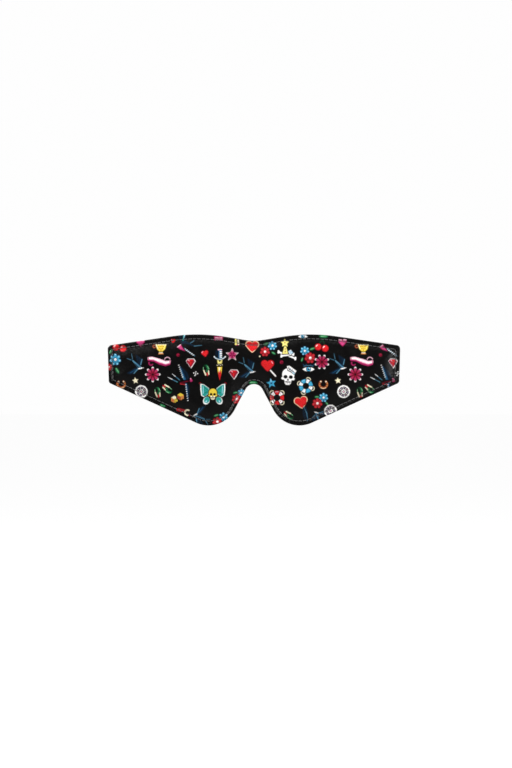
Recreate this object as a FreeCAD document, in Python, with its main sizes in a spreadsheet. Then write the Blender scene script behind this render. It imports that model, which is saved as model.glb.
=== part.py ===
import FreeCAD, Part
import math
import os
import Sketcher

# Printed leather eye mask with two elastic straps, in millimetres.
# Frame: the face-side surface of the lining is the plane y = 0, the wearer's head is on +Y, the
# printed front looks towards -Y, X runs across the mask and Z is up. The origin is on the
# lining's face, in the middle of the bridge over the nose.

V = FreeCAD.Vector

SIZES = {
    # Corners of the mask's outline before rounding, and the rounding at each. "x" is measured
    # from the middle; "up" is above the bridge's centre and "down" is below it.
    "dip_up": 15.9, "dip_round": 36.0,
    "brow_x": 41.15, "brow_up": 22.69, "brow_round": 132.0,
    "temple_x": 109.0, "temple_up": 12.8, "temple_round": 3.0,
    "jowl_x": 108.1, "jowl_down": 14.9, "jowl_round": 2.5,
    "cheek_x": 24.2, "cheek_down": 53.35, "cheek_round": 22.0,
    "notch_down": 7.92, "notch_round": 7.1,
    # Depths from the face side (y = 0) towards the front.
    "lining_thick": 0.9, "rim_depth": 2.3, "dome_depth": 6.0, "cavity_depth": 5.0,
    # Insets of each layer from the outline.
    "dome_inset": 4.2, "cavity_inset": 5.2, "dome_round": 2.5, "cavity_round": 1.6,
    "seam_inset": 2.9, "seam_width": 0.8, "seam_depth": 0.35, "back_seam_depth": 0.3,
    # Straps: 10 mm elastic band, one above and one below the middle.
    "band_width": 10.0, "band_thick": 1.0, "upper_z": 4.3, "lower_z": -9.1,
    "strap_x": 95.0, "hinge_y": 5.3, "start_y": 0.3,
    "band_inner_x": 94.5, "fold_outer_x": 97.6,
    "side_corner_y": 63.6, "back_corner_y": 118.0, "side_round": 34.0, "back_round": 150.0,
    "fold_round": 1.5, "band_fold_y": 10.65, "band_end_y": 43.5,
    "tab_fold_y": 8.75, "tab_end_y": 2.4,
    # Strap ends inside the mask, the slits they leave by and the bar tacks over them.
    "tail_length": 20.0, "slit_gap": 0.2, "tack_x": 89.0, "tack_width": 1.5, "tack_height": 8.0,
    # Rectangular wire ring and sliding adjuster.
    "layer_middle_x": 96.05, "ring_y": 9.7, "ring_spacing": 5.0, "wire": 1.0,
    "ring_inner_height": 10.4, "ring_corner": 1.3, "wire_round": 0.42,
    "slider_y": 27.0, "slider_length": 9.0, "slider_gap": 0.3, "slider_wall": 1.0,
    "slider_rail": 1.1, "end_bar": 1.9, "middle_bar": 2.2, "slider_corner": 0.9,
    "slider_round": 0.35,
    # Stitches that hold the tabs and the bands' hems.
    "tab_stitch_y": 3.2, "tab_stitch_length": 1.4, "tab_stitch_height": 6.0,
    "hem_stitch_y": 41.0, "hem_stitch_length": 1.0, "hem_stitch_height": 8.0,
    "hem_stitch_depth": 0.3,
}
LAYER_GAP = "(Sizes.fold_outer_x - Sizes.band_inner_x - 2 * Sizes.band_thick)"

doc = FreeCAD.newDocument("EyeMask")
sheet = doc.addObject("Spreadsheet::Sheet", "Sizes")
for row, (alias, number) in enumerate(SIZES.items(), start=1):
    sheet.set(f"A{row}", alias)
    sheet.set(f"B{row}", str(number))
    sheet.setAlias(f"B{row}", alias)
doc.recompute()

nodes = []


def bind(item, **expressions):
    """Bind properties of a document object to expressions; a double underscore stands for a dot."""
    for name, expression in expressions.items():
        item.setExpression(name.replace("__", "."), expression)
    return item


def node(item, label):
    """Give a finished sub-part its own name."""
    item.Label = label
    nodes.append(item)
    return item


# ---------------------------------------------------------------- sketches

def corner_points(corners):
    """Start positions of a chain's corners, from the same cells that later drive them."""
    points = []
    for x_sign, x_cell, y_sign, y_cell, _ in corners:
        x = x_sign * SIZES[x_cell] if x_cell else 0.0
        points.append(V(x, y_sign * SIZES[y_cell], 0))
    return points


def rounded_chain(sketch, corners, closed):
    """Draw straight runs joined by tangent arcs, with every corner and radius bound to a cell.

    A corner is (x sign, x cell or None, y sign, y cell, radius cell); the two ends of an open
    chain have no radius.
    """
    points = corner_points(corners)
    count = len(points)
    runs = count if closed else count - 1
    rounded = range(count) if closed else range(1, count - 1)

    tangent_length = {}
    for i in rounded:
        back = (points[i - 1] - points[i]).normalize()
        ahead = (points[(i + 1) % count] - points[i]).normalize()
        half = back.getAngle(ahead) / 2
        tangent_length[i] = SIZES[corners[i][4]] / math.tan(half)

    marks = [sketch.addGeometry(Part.Point(p), True) for p in points]
    lines = []
    for i in range(runs):
        j = (i + 1) % count
        ahead = (points[j] - points[i]).normalize()
        first = points[i] + ahead * tangent_length.get(i, 0.0)
        last = points[j] - ahead * tangent_length.get(j, 0.0)
        lines.append(sketch.addGeometry(Part.LineSegment(first, last), False))

    for i in rounded:
        before = lines[i - 1]
        after = lines[i]
        first = sketch.getPoint(before, 2)
        last = sketch.getPoint(after, 1)
        bisector = ((points[i - 1] - points[i]).normalize()
                    + (points[(i + 1) % count] - points[i]).normalize()).normalize()
        radius = SIZES[corners[i][4]]
        centre = points[i] + bisector * math.hypot(radius, tangent_length[i])
        turn = (first - centre).cross(last - centre).z
        arc_start, arc_end = (first, last) if turn > 0 else (last, first)
        angles = [math.atan2((p - centre).y, (p - centre).x) for p in (arc_start, arc_end)]
        circle = Part.Circle(centre, V(0, 0, 1), radius)
        arc = sketch.addGeometry(Part.ArcOfCircle(circle, angles[0], angles[1]), False)
        near, far = (1, 2) if turn > 0 else (2, 1)
        sketch.addConstraint(Sketcher.Constraint("Tangent", before, 2, arc, near))
        sketch.addConstraint(Sketcher.Constraint("Tangent", after, 1, arc, far))
        pin(sketch, Sketcher.Constraint("Radius", arc, radius), corners[i][4])

    for i, (x_sign, x_cell, y_sign, y_cell, _) in enumerate(corners):
        if x_cell:
            place(sketch, "DistanceX", marks[i], x_sign, x_cell)
        else:
            sketch.addConstraint(Sketcher.Constraint("PointOnObject", marks[i], 1, -2))
        place(sketch, "DistanceY", marks[i], y_sign, y_cell)
    for i in range(runs):
        j = (i + 1) % count
        for corner, end in ((i, 1), (j, 2)):
            if corner in rounded:
                sketch.addConstraint(
                    Sketcher.Constraint("PointOnObject", marks[corner], 1, lines[i]))
            else:
                sketch.addConstraint(
                    Sketcher.Constraint("Coincident", lines[i], end, marks[corner], 1))


def pin(sketch, constraint, expression):
    """Add one dimension to a sketch and drive it from the sheet."""
    index = sketch.addConstraint(constraint)
    if "Sizes." not in expression:
        expression = "Sizes." + expression
    sketch.setExpression(f"Constraints[{index}]", expression)


def place(sketch, kind, mark, sign, cell):
    """Hold a corner at a signed distance from the sketch's origin."""
    ends = (-1, 1, mark, 1) if sign > 0 else (mark, 1, -1, 1)
    pin(sketch, Sketcher.Constraint(kind, *ends, SIZES[cell]), cell)


# ---------------------------------------------------------------- layers of the mask

def mask_outline():
    """The mask's outline, seen from the front and drawn on the lining's face."""
    sketch = doc.addObject("Sketcher::SketchObject", "mask_outline")
    sketch.Placement = FreeCAD.Placement(V(0, 0, 0), FreeCAD.Rotation(V(1, 0, 0), 90))
    right = [
        (1, "brow_x", 1, "brow_up", "brow_round"),
        (1, "temple_x", 1, "temple_up", "temple_round"),
        (1, "jowl_x", -1, "jowl_down", "jowl_round"),
        (1, "cheek_x", -1, "cheek_down", "cheek_round"),
    ]
    left = [(-1, *corner[1:]) for corner in reversed(right)]
    dip = (1, None, 1, "dip_up", "dip_round")
    notch = (1, None, -1, "notch_down", "notch_round")
    rounded_chain(sketch, [dip, *right, notch, *left], closed=True)
    return sketch


def inset_outline(outline, name, inset):
    """The outline moved inwards by an amount from the sheet."""
    offset = doc.addObject("Part::Offset2D", name)
    offset.Source = outline
    return bind(offset, Value=f"-({inset})")


def layer(outline, name, near, far):
    """A slab of an outline between two depths towards the front."""
    slab = doc.addObject("Part::Extrusion", name)
    slab.Base = outline
    slab.DirMode = "Custom"
    slab.Dir = V(0, -1, 0)
    slab.Solid = True
    return bind(slab, LengthRev=f"-({near})", LengthFwd=far)


def boolean(kind, name, base, tool):
    result = doc.addObject(kind, name)
    result.Base = base
    result.Tool = tool
    return result


def fuse(name, shapes):
    result = doc.addObject("Part::MultiFuse", name)
    result.Shapes = shapes
    return result


def box(name, length, width, height, x, y, z):
    """A block with its lowest corner at x, y, z; each size and place is an expression."""
    block = doc.addObject("Part::Box", name)
    return bind(block, Length=length, Width=width, Height=height,
                Placement__Base__x=x, Placement__Base__y=y, Placement__Base__z=z)


def round_front(base, name, radius):
    """Round the edges of a slab's front face."""
    doc.recompute()
    front = base.Shape.BoundBox.YMin
    edges = [i for i, edge in enumerate(base.Shape.Edges, start=1)
             if abs(edge.BoundBox.YMax - front) < 1e-6]
    fillet = doc.addObject("Part::Fillet", name)
    fillet.Base = base
    fillet.Edges = [(i, SIZES[radius], SIZES[radius]) for i in edges]
    return fillet


def seam_ring(outline, name, near, far):
    """The narrow ring that the edge seam's thread fills."""
    outer = inset_outline(outline, name + "_outer", "Sizes.seam_inset")
    inner = inset_outline(outline, name + "_inner", "Sizes.seam_inset + Sizes.seam_width")
    return boolean("Part::Cut", name,
                   layer(outer, name + "_disc", near, far),
                   layer(inner, name + "_core", near, far))


STRAP_ENDS = [(row, hand) for row in ("upper", "lower") for hand in ("left", "right")]


def low_x(hand, near, far):
    """Lowest x of a block between two distances from the middle, on the named side."""
    return near if hand == "right" else f"-({far})"


def strap_tail(row, hand):
    """The end of a strap: flat under the lining, then out through its slit."""
    width = "Sizes.band_width"
    bottom = f"Sizes.{row}_z - Sizes.band_width / 2"
    outer = "Sizes.strap_x + Sizes.band_thick / 2"
    inner = f"{outer} - Sizes.tail_length"
    flat = box(f"{row}_{hand}_tail_flat", "Sizes.tail_length", "Sizes.band_thick", width,
               low_x(hand, inner, outer), "-Sizes.lining_thick - Sizes.band_thick", bottom)
    slot_inner = "Sizes.strap_x - Sizes.band_thick / 2"
    riser = box(f"{row}_{hand}_tail_riser", "Sizes.band_thick", "Sizes.lining_thick", width,
                low_x(hand, slot_inner, outer), "-Sizes.lining_thick", bottom)
    return fuse(f"{row}_{hand}_tail_shape", [flat, riser])


def strap_slit(row, hand):
    """The slit in the lining that a strap leaves by."""
    half = "(Sizes.band_thick / 2 + Sizes.slit_gap)"
    return box(f"{row}_{hand}_slit", f"2 * {half}", "Sizes.lining_thick",
               "Sizes.band_width + 2 * Sizes.slit_gap",
               low_x(hand, f"Sizes.strap_x - {half}", f"Sizes.strap_x + {half}"),
               "-Sizes.lining_thick",
               f"Sizes.{row}_z - Sizes.band_width / 2 - Sizes.slit_gap")


def bar_tack(row, hand, name):
    """Dense stitching across a tail, pressed level with the lining."""
    return box(name, "Sizes.tack_width", "Sizes.back_seam_depth", "Sizes.tack_height",
               low_x(hand, "Sizes.tack_x", "Sizes.tack_x + Sizes.tack_width"),
               "-Sizes.back_seam_depth", f"Sizes.{row}_z - Sizes.tack_height / 2")


def build_mask():
    outline = mask_outline()
    tails = {end: strap_tail(*end) for end in STRAP_ENDS}

    front_seam = seam_ring(outline, "front_seam", "Sizes.rim_depth - Sizes.seam_depth",
                           "Sizes.rim_depth")
    back_seam = seam_ring(outline, "back_seam", "0 mm", "Sizes.back_seam_depth")

    cavity_outline = inset_outline(outline, "cavity_outline", "Sizes.cavity_inset")
    cavity = round_front(layer(cavity_outline, "cavity_slab", "Sizes.lining_thick",
                               "Sizes.cavity_depth"), "cavity", "cavity_round")
    dome_outline = inset_outline(outline, "dome_outline", "Sizes.dome_inset")
    dome = round_front(layer(dome_outline, "dome_slab", "Sizes.lining_thick",
                             "Sizes.dome_depth"), "dome", "dome_round")
    rim = layer(outline, "rim", "Sizes.lining_thick", "Sizes.rim_depth")
    shell = boolean("Part::Cut", "shell", fuse("raised_front", [rim, dome]), cavity)
    node(boolean("Part::Cut", "leather", shell, front_seam), "front_leather")
    node(boolean("Part::Cut", "foam", cavity, fuse("all_tails", list(tails.values()))), "foam_pad")

    openings = [strap_slit(*end) for end in STRAP_ENDS]
    openings += [bar_tack(*end, f"{end[0]}_{end[1]}_recess") for end in STRAP_ENDS]
    lining = layer(outline, "lining_slab", "0 mm", "Sizes.lining_thick")
    node(boolean("Part::Cut", "lining", lining, fuse("lining_openings", [back_seam, *openings])),
         "back_lining")

    node(front_seam, "front_seam_thread")
    node(back_seam, "back_seam_thread")
    for row, hand in STRAP_ENDS:
        node(tails[row, hand], f"{row}_{hand}_tail")
        node(bar_tack(row, hand, f"{row}_{hand}_tack_block"), f"{row}_{hand}_tack")


# ---------------------------------------------------------------- straps

def webbing(name, row, side, corners):
    """Webbing on edge: a line seen from above, thickened to one side and raised to its width.

    side is -1 to thicken to the left of the line's direction and +1 to thicken to its right.
    """
    line = doc.addObject("Sketcher::SketchObject", name + "_line")
    bind(line, Placement__Base__z=f"Sizes.{row}_z")
    rounded_chain(line, corners, closed=False)
    strip = doc.addObject("Part::Offset2D", name + "_strip")
    strip.Source = line
    strip.Mode = "Skin"
    strip.Fill = True
    bind(strip, Value=f"{side} * Sizes.band_thick")
    raised = doc.addObject("Part::Extrusion", name + "_raised")
    raised.Base = strip
    raised.DirMode = "Custom"
    raised.Dir = V(0, 0, 1)
    raised.Solid = True
    raised.Symmetric = True
    bind(raised, LengthFwd="Sizes.band_width")
    return raised


def end_trimmer(row, name):
    """What is outside the half-round end of a strap, so that the strap can swing at the mask."""
    half = "Sizes.band_width / 2"
    reach = "Sizes.temple_x"
    block = box(name + "_block", f"2 * {reach}", "Sizes.hinge_y", "2 * Sizes.band_width",
                f"-{reach}", "0 mm", f"Sizes.{row}_z - Sizes.band_width")
    end = doc.addObject("Part::Cylinder", name + "_end")
    bind(end, Radius=half, Height=f"2 * {reach}", Placement__Base__x=f"-{reach}",
         Placement__Base__y="Sizes.hinge_y", Placement__Base__z=f"Sizes.{row}_z")
    end.Placement.Rotation = FreeCAD.Rotation(V(0, 1, 0), 90)
    return boolean("Part::Cut", name, block, end)


def plane(body, role):
    """One of a body's own origin planes."""
    return next(item for item in body.Origin.OriginFeatures if item.Role == role)


def body_sketch(body, name, role):
    sketch = body.newObject("Sketcher::SketchObject", name)
    sketch.AttachmentSupport = [(plane(body, role), "")]
    sketch.MapMode = "FlatFace"
    return sketch


def rectangle(sketch, half_width, half_height, centre=None):
    """A rectangle of expression-driven half sizes, centred on the origin or at (x, 0)."""
    x_middle = centre[0] if centre else 0.0
    wide, tall = half_width[0], half_height[0]
    corners = [V(x_middle - wide, -tall, 0), V(x_middle + wide, -tall, 0),
               V(x_middle + wide, tall, 0), V(x_middle - wide, tall, 0)]
    sides = [sketch.addGeometry(Part.LineSegment(corners[i], corners[(i + 1) % 4]), False)
             for i in range(4)]
    for i in range(4):
        sketch.addConstraint(
            Sketcher.Constraint("Coincident", sides[i], 2, sides[(i + 1) % 4], 1))
    for i, way in enumerate(("Horizontal", "Vertical", "Horizontal", "Vertical")):
        sketch.addConstraint(Sketcher.Constraint(way, sides[i]))
    pin(sketch, Sketcher.Constraint("DistanceX", sides[0], 1, sides[0], 2, 2 * wide),
        f"2 * ({half_width[1]})")
    pin(sketch, Sketcher.Constraint("DistanceY", sides[1], 1, sides[1], 2, 2 * tall),
        f"2 * ({half_height[1]})")
    pin(sketch, Sketcher.Constraint("DistanceY", sides[0], 1, -1, 1, tall), half_height[1])
    if centre:
        pin(sketch, Sketcher.Constraint("DistanceX", -1, 1, sides[0], 1, x_middle - wide),
            f"{centre[1]} - ({half_width[1]})")
    else:
        pin(sketch, Sketcher.Constraint("DistanceX", sides[0], 1, -1, 1, wide), half_width[1])


def pad(body, name, sketch, length):
    feature = body.newObject("PartDesign::Pad", name)
    feature.Profile = sketch
    feature.SideType = "Symmetric"
    return bind(feature, Length=length)


def pocket(body, name, sketch, reverse):
    """Cut a sketch right through one wall; it must take material away."""
    doc.recompute()
    before = body.Shape.Volume
    feature = body.newObject("PartDesign::Pocket", name)
    feature.Profile = sketch
    feature.Type = "ThroughAll"
    feature.Reversed = reverse
    doc.recompute()
    if body.Shape.Volume > before - 0.1:
        raise RuntimeError(f"{name} cuts nothing")
    return feature


def soften(body, name, base, radius, keep):
    """Round the edges that keep(edge) accepts."""
    doc.recompute()
    edges = [f"Edge{i}" for i, edge in enumerate(base.Shape.Edges, start=1) if keep(edge)]
    fillet = body.newObject("PartDesign::Fillet", name)
    fillet.Base = (base, edges)
    return bind(fillet, Radius=radius)


def wire_ring(name):
    """A rectangle of round wire, standing across the strap's end."""
    body = doc.addObject("PartDesign::Body", name)
    half_y = (SIZES["ring_spacing"] + SIZES["wire"]) / 2
    half_z = SIZES["ring_inner_height"] / 2 + SIZES["wire"]
    outer = body_sketch(body, name + "_outer", "YZ_Plane")
    rectangle(outer, (half_y, "(Sizes.ring_spacing + Sizes.wire) / 2"),
              (half_z, "Sizes.ring_inner_height / 2 + Sizes.wire"))
    rectangle(outer, (half_y - SIZES["wire"], "(Sizes.ring_spacing - Sizes.wire) / 2"),
              (half_z - SIZES["wire"], "Sizes.ring_inner_height / 2"))
    frame = pad(body, name + "_frame", outer, "Sizes.wire")
    outside = soften(body, name + "_outside", frame, "Sizes.ring_corner",
                     lambda edge: across(edge) and abs(edge.BoundBox.Center.y) > half_y - 0.1)
    inside = soften(body, name + "_inside", outside, "Sizes.ring_corner - Sizes.wire",
                    lambda edge: across(edge) and abs(edge.BoundBox.Center.y) < half_y - 0.9)
    soften(body, name + "_round", inside, "Sizes.wire_round", lambda edge: not across(edge))
    return body


def across(edge):
    """Edges along X, through a ring's wire."""
    return edge.BoundBox.XLength > 0.5 * SIZES["wire"]


def slider_frame(name, outward):
    """An adjuster: two rails, an end bar at each end outside and a middle bar inside."""
    body = doc.addObject("PartDesign::Body", name)
    passage_x = (SIZES["fold_outer_x"] - SIZES["band_inner_x"]) / 2 + SIZES["slider_gap"]
    passage_z = SIZES["band_width"] / 2 + SIZES["slider_gap"]
    half_x = "(Sizes.fold_outer_x - Sizes.band_inner_x) / 2 + Sizes.slider_gap"
    half_z = "Sizes.band_width / 2 + Sizes.slider_gap"

    profile = body_sketch(body, name + "_profile", "XZ_Plane")
    rectangle(profile, (passage_x + SIZES["slider_wall"], f"{half_x} + Sizes.slider_wall"),
              (passage_z + SIZES["slider_rail"], f"{half_z} + Sizes.slider_rail"))
    rectangle(profile, (passage_x, half_x), (passage_z, half_z))
    tube = pad(body, name + "_tube", profile, "Sizes.slider_length")

    window = body_sketch(body, name + "_window", "YZ_Plane")
    rectangle(window, (SIZES["slider_length"] / 2 - SIZES["end_bar"],
                       "Sizes.slider_length / 2 - Sizes.end_bar"), (passage_z, half_z))
    pocket(body, name + "_outer_window", window, reverse=outward > 0)

    gap = (SIZES["slider_length"] - SIZES["middle_bar"]) / 4
    gap_text = "(Sizes.slider_length - Sizes.middle_bar) / 4"
    middle = SIZES["middle_bar"] / 2 + gap
    for hand, sign in (("front", -1), ("rear", 1)):
        side = body_sketch(body, f"{name}_{hand}_window", "YZ_Plane")
        rectangle(side, (gap, gap_text), (passage_z, half_z),
                  centre=(sign * middle, f"{sign} * (Sizes.middle_bar / 2 + {gap_text})"))
        last = pocket(body, f"{name}_{hand}_cut", side, reverse=outward < 0)

    corners = soften(body, name + "_corners", last, "Sizes.slider_corner",
                     lambda edge: outer_corner(edge, passage_x, passage_z))
    soften(body, name + "_edges", corners, "Sizes.slider_round",
           lambda edge: on_outer_wall(edge, passage_x, outward))
    return body


def outer_corner(edge, passage_x, passage_z):
    """The rails' long outer edges."""
    middle = edge.BoundBox.Center
    return (edge.BoundBox.YLength > 0.9 * SIZES["slider_length"]
            and abs(middle.x) > passage_x + 0.5 * SIZES["slider_wall"]
            and abs(middle.z) > passage_z + 0.5 * SIZES["slider_rail"])


def on_outer_wall(edge, passage_x, outward):
    """Edges of the end bars along the strap's width, on the outward face."""
    middle = edge.BoundBox.Center
    return (edge.BoundBox.ZLength > SIZES["band_width"]
            and edge.BoundBox.XLength < 1e-6 and edge.BoundBox.YLength < 1e-6
            and outward * middle.x > passage_x + 0.5 * SIZES["slider_wall"])


def build_strap(row, outward):
    """One strap with its ring on the side that "outward" points to: +1 for +X, -1 for -X."""
    z_middle = f"Sizes.{row}_z"
    band = webbing(f"{row}_band", row, -outward, [
        (-outward, "band_inner_x", 1, "start_y", None),
        (-outward, "band_inner_x", 1, "side_corner_y", "side_round"),
        (1, None, 1, "back_corner_y", "back_round"),
        (outward, "band_inner_x", 1, "side_corner_y", "side_round"),
        (outward, "band_inner_x", 1, "band_fold_y", "fold_round"),
        (outward, "fold_outer_x", 1, "band_fold_y", "fold_round"),
        (outward, "fold_outer_x", 1, "band_end_y", None),
    ])
    node(boolean("Part::Cut", f"{row}_band_solid", band, end_trimmer(row, f"{row}_band_trim")),
         f"{row}_band")

    tab = webbing(f"{row}_tab", row, outward, [
        (outward, "band_inner_x", 1, "start_y", None),
        (outward, "band_inner_x", 1, "tab_fold_y", "fold_round"),
        (outward, "fold_outer_x", 1, "tab_fold_y", "fold_round"),
        (outward, "fold_outer_x", 1, "tab_end_y", None),
    ])
    node(boolean("Part::Cut", f"{row}_tab_solid", tab, end_trimmer(row, f"{row}_tab_trim")),
         f"{row}_tab")

    hand = "right" if outward > 0 else "left"
    inner_face = "Sizes.band_inner_x + Sizes.band_thick"
    node(box(f"{row}_tab_threads", LAYER_GAP, "Sizes.tab_stitch_length",
             "Sizes.tab_stitch_height",
             low_x(hand, inner_face, f"{inner_face} + {LAYER_GAP}"), "Sizes.tab_stitch_y",
             f"{z_middle} - Sizes.tab_stitch_height / 2"), f"{row}_tab_stitch")
    node(box(f"{row}_hem_threads", "Sizes.hem_stitch_depth", "Sizes.hem_stitch_length",
             "Sizes.hem_stitch_height",
             low_x(hand, "Sizes.fold_outer_x", "Sizes.fold_outer_x + Sizes.hem_stitch_depth"),
             "Sizes.hem_stitch_y", f"{z_middle} - Sizes.hem_stitch_height / 2"),
         f"{row}_hem_stitch")

    for kind, body, along in (("ring", wire_ring(f"{row}_wire"), "Sizes.ring_y"),
                              ("slider", slider_frame(f"{row}_adjuster", outward),
                               "Sizes.slider_y")):
        bind(body, Placement__Base__x=f"{outward} * Sizes.layer_middle_x",
             Placement__Base__y=along, Placement__Base__z=z_middle)
        node(body, f"{row}_{kind}")


build_mask()
build_strap("upper", outward=1)
build_strap("lower", outward=-1)
doc.recompute()

# ---------------------------------------------------------------- checks and files

for item in doc.Objects:
    if "Invalid" in item.State or "Error" in item.State:
        raise RuntimeError(f"{item.Label} failed to build: {item.State}")
os.makedirs("parts", exist_ok=True)
for item in nodes:
    if item.Shape.isNull() or not item.Shape.isValid():
        raise RuntimeError(f"{item.Label} has no valid shape")
    item.Shape.exportStep(f"parts/{item.Label}.step")
    size = item.Shape.BoundBox
    print(f"{item.Label:20s} solids {len(item.Shape.Solids)} volume {item.Shape.Volume:9.2f}  "
          f"x {size.XMin:8.2f} {size.XMax:8.2f}  y {size.YMin:7.2f} {size.YMax:7.2f}  "
          f"z {size.ZMin:7.2f} {size.ZMax:7.2f}")
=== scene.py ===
import math

import bpy
import numpy as np
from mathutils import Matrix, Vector
from mathutils.geometry import delaunay_2d_cdt


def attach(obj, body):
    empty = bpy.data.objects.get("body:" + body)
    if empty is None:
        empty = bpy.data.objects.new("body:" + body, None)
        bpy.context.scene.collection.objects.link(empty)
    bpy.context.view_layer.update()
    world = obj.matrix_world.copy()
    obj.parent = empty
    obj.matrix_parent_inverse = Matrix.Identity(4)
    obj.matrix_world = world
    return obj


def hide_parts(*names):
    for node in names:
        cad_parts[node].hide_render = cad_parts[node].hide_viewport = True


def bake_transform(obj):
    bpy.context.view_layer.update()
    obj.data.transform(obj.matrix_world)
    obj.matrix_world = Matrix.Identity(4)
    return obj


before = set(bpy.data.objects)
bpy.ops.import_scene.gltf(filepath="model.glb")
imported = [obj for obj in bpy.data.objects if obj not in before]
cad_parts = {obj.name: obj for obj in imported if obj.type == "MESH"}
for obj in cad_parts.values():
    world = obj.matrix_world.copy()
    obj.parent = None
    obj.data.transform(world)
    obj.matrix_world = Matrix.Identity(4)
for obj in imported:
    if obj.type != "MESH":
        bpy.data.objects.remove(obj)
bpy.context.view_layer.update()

MM = 0.001
TURN = 2 * math.pi
rng = np.random.default_rng(7)


# Seen from the front: x to the right, z up.

# Corners before rounding, clockwise from the dip in the middle of the top edge: (x, z, radius).
DIP = (0.0, 15.9, 36.0)
BROW = (41.15, 22.69, 132.0)
TEMPLE = (109.0, 12.8, 3.0)
JOWL = (108.1, -14.9, 2.5)
CHEEK = (24.2, -53.35, 22.0)
NOTCH = (0.0, -7.92, 7.1)
RIGHT_SIDE = [BROW, TEMPLE, JOWL, CHEEK]
LEFT_SIDE = [(-x, z, r) for x, z, r in reversed(RIGHT_SIDE)]
CORNERS = [DIP, *RIGHT_SIDE, NOTCH, *LEFT_SIDE]
SHARPEST = 0.45


def rounded_chain(corners, closed, step, counts=None):
    """Points along arcs joined by straight tangent runs, and how many each arc and run has.

    corners are (x, y, radius). With counts given, the points match another chain's one to one.
    """
    points = np.array([corner[:2] for corner in corners], float)
    total = len(points)
    arcs, made, used = [], [], []
    for i in range(total) if closed else range(1, total - 1):
        before, after = points[i] - points[i - 1], points[(i + 1) % total] - points[i]
        before, after = before / np.hypot(*before), after / np.hypot(*after)
        turn = math.atan2(before[0] * after[1] - before[1] * after[0], before @ after)
        radius = corners[i][2]
        reach = radius * math.tan(abs(turn) / 2)
        start = points[i] - before * reach
        side = np.array([-before[1], before[0]]) * math.copysign(1, turn)
        arcs.append((start, points[i] + after * reach, start + side * radius, radius, turn))

    def shares(length, least):
        used.append(counts[len(used)] if counts else max(least, round(length / step)))
        return np.arange(used[-1])[:, None] / used[-1]

    def add_run(start, end):
        made.append(start + (end - start) * shares(np.hypot(*(end - start)), 1))

    if not closed:
        add_run(points[0], arcs[0][0])
    for k, (start, end, centre, radius, turn) in enumerate(arcs):
        angle = math.atan2(*(start - centre)[::-1]) + turn * shares(abs(turn) * radius, 3)
        made.append(centre + radius * np.hstack([np.cos(angle), np.sin(angle)]))
        last = not closed and k == len(arcs) - 1
        add_run(end, points[-1] if last else arcs[(k + 1) % len(arcs)][0])
    if not closed:
        made.append(points[-1:])
    return np.concatenate(made), used


def inset_corners(inset):
    """The outline's corners moved inwards; outward corners tighten and inward ones widen."""
    points = np.array([corner[:2] for corner in CORNERS])
    ahead = np.roll(points, -1, axis=0) - points
    ahead /= np.hypot(*ahead.T)[:, None]
    behind = np.roll(ahead, 1, axis=0)
    inward, before = ahead[:, ::-1] * [1, -1], behind[:, ::-1] * [1, -1]
    moved = points + (before + inward) * inset / (1 + (before * inward).sum(1))[:, None]
    outward = behind[:, 0] * ahead[:, 1] - behind[:, 1] * ahead[:, 0] < 0
    return [(x, z, max(radius - inset if out else radius + inset, SHARPEST))
            for (x, z), (*_, radius), out in zip(moved, CORNERS, outward)]


EDGE_STEP = 0.4
EDGE, EDGE_COUNTS = rounded_chain(CORNERS, True, EDGE_STEP)


def edge_loop(inset):
    """The outline moved inwards, with the same number of points at every inset."""
    return rounded_chain(inset_corners(inset), True, EDGE_STEP, EDGE_COUNTS)[0]


def travelled(points):
    """How far along a line of points each one lies."""
    return np.append(0, np.cumsum(np.hypot(*np.diff(points, axis=0).T)))


EDGE_TRAVEL = travelled(EDGE)
POINTS_AT_ONCE = 4000


def edge_distance(points):
    """Distance in from the outline, and how far round it the nearest place is."""
    distance, travel = [], []
    for part in np.array_split(points, len(points) // POINTS_AT_ONCE + 1):
        square = ((part[:, None, :] - EDGE[None]) ** 2).sum(2)
        nearest = square.argmin(1)
        distance.append(np.sqrt(square[np.arange(len(part)), nearest]))
        travel.append(EDGE_TRAVEL[nearest])
    return np.concatenate(distance), np.concatenate(travel)


def inside(across, up, corners):
    """Which of the points lie inside a polygon."""
    found = np.zeros(len(across), bool)
    for (x0, y0), (x1, y1) in zip(corners, [*corners[1:], corners[0]]):
        if y0 != y1:
            crosses = (y0 > up) != (y1 > up)
            found ^= crosses & (across < x0 + (up - y0) * (x1 - x0) / (y1 - y0))
    return found


def soft_noise(x, z, size, seed, waves=9):
    """Smooth uneven values, mostly from -1 to 1, with bumps of roughly the given size."""
    own = np.random.default_rng(seed)
    value = np.zeros_like(x)
    for _ in range(waves):
        heading = own.uniform(0, TURN)
        length = size * own.uniform(0.8, 2.2)
        value += np.sin((x * math.cos(heading) + z * math.sin(heading)) * TURN / length
                        + own.uniform(0, TURN))
    return value / math.sqrt(waves)


# ================================================================ mesh helpers

def new_piece(name, vertices, faces):
    """A smooth mesh object from vertices in millimetres."""
    mesh = bpy.data.meshes.new(name)
    mesh.from_pydata((np.asarray(vertices) * MM).tolist(), [], faces)
    mesh.validate()
    mesh.update()
    mesh.shade_smooth()
    piece = bpy.data.objects.new(name, mesh)
    bpy.context.scene.collection.objects.link(piece)
    return piece


def point_value(piece, name, values):
    """Store one number per point for a material to read."""
    attribute = piece.data.attributes.new(name, "FLOAT", "POINT")
    attribute.data.foreach_set("value", np.asarray(values, np.float32))


def finish_piece(piece, material, body, slot, *stands_for):
    piece.data.materials.append(material)
    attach(piece, body)
    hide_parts(*stands_for)


def loop_quads(loops, count, start=0):
    """Quads between consecutive closed loops of count points each."""
    first = np.arange(count)
    after = (first + 1) % count
    quads = []
    for k in range(loops - 1):
        a, b = start + k * count, start + (k + 1) * count
        quads.append(np.stack([a + first, b + first, b + after, a + after], 1))
    return np.concatenate(quads).tolist()


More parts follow.
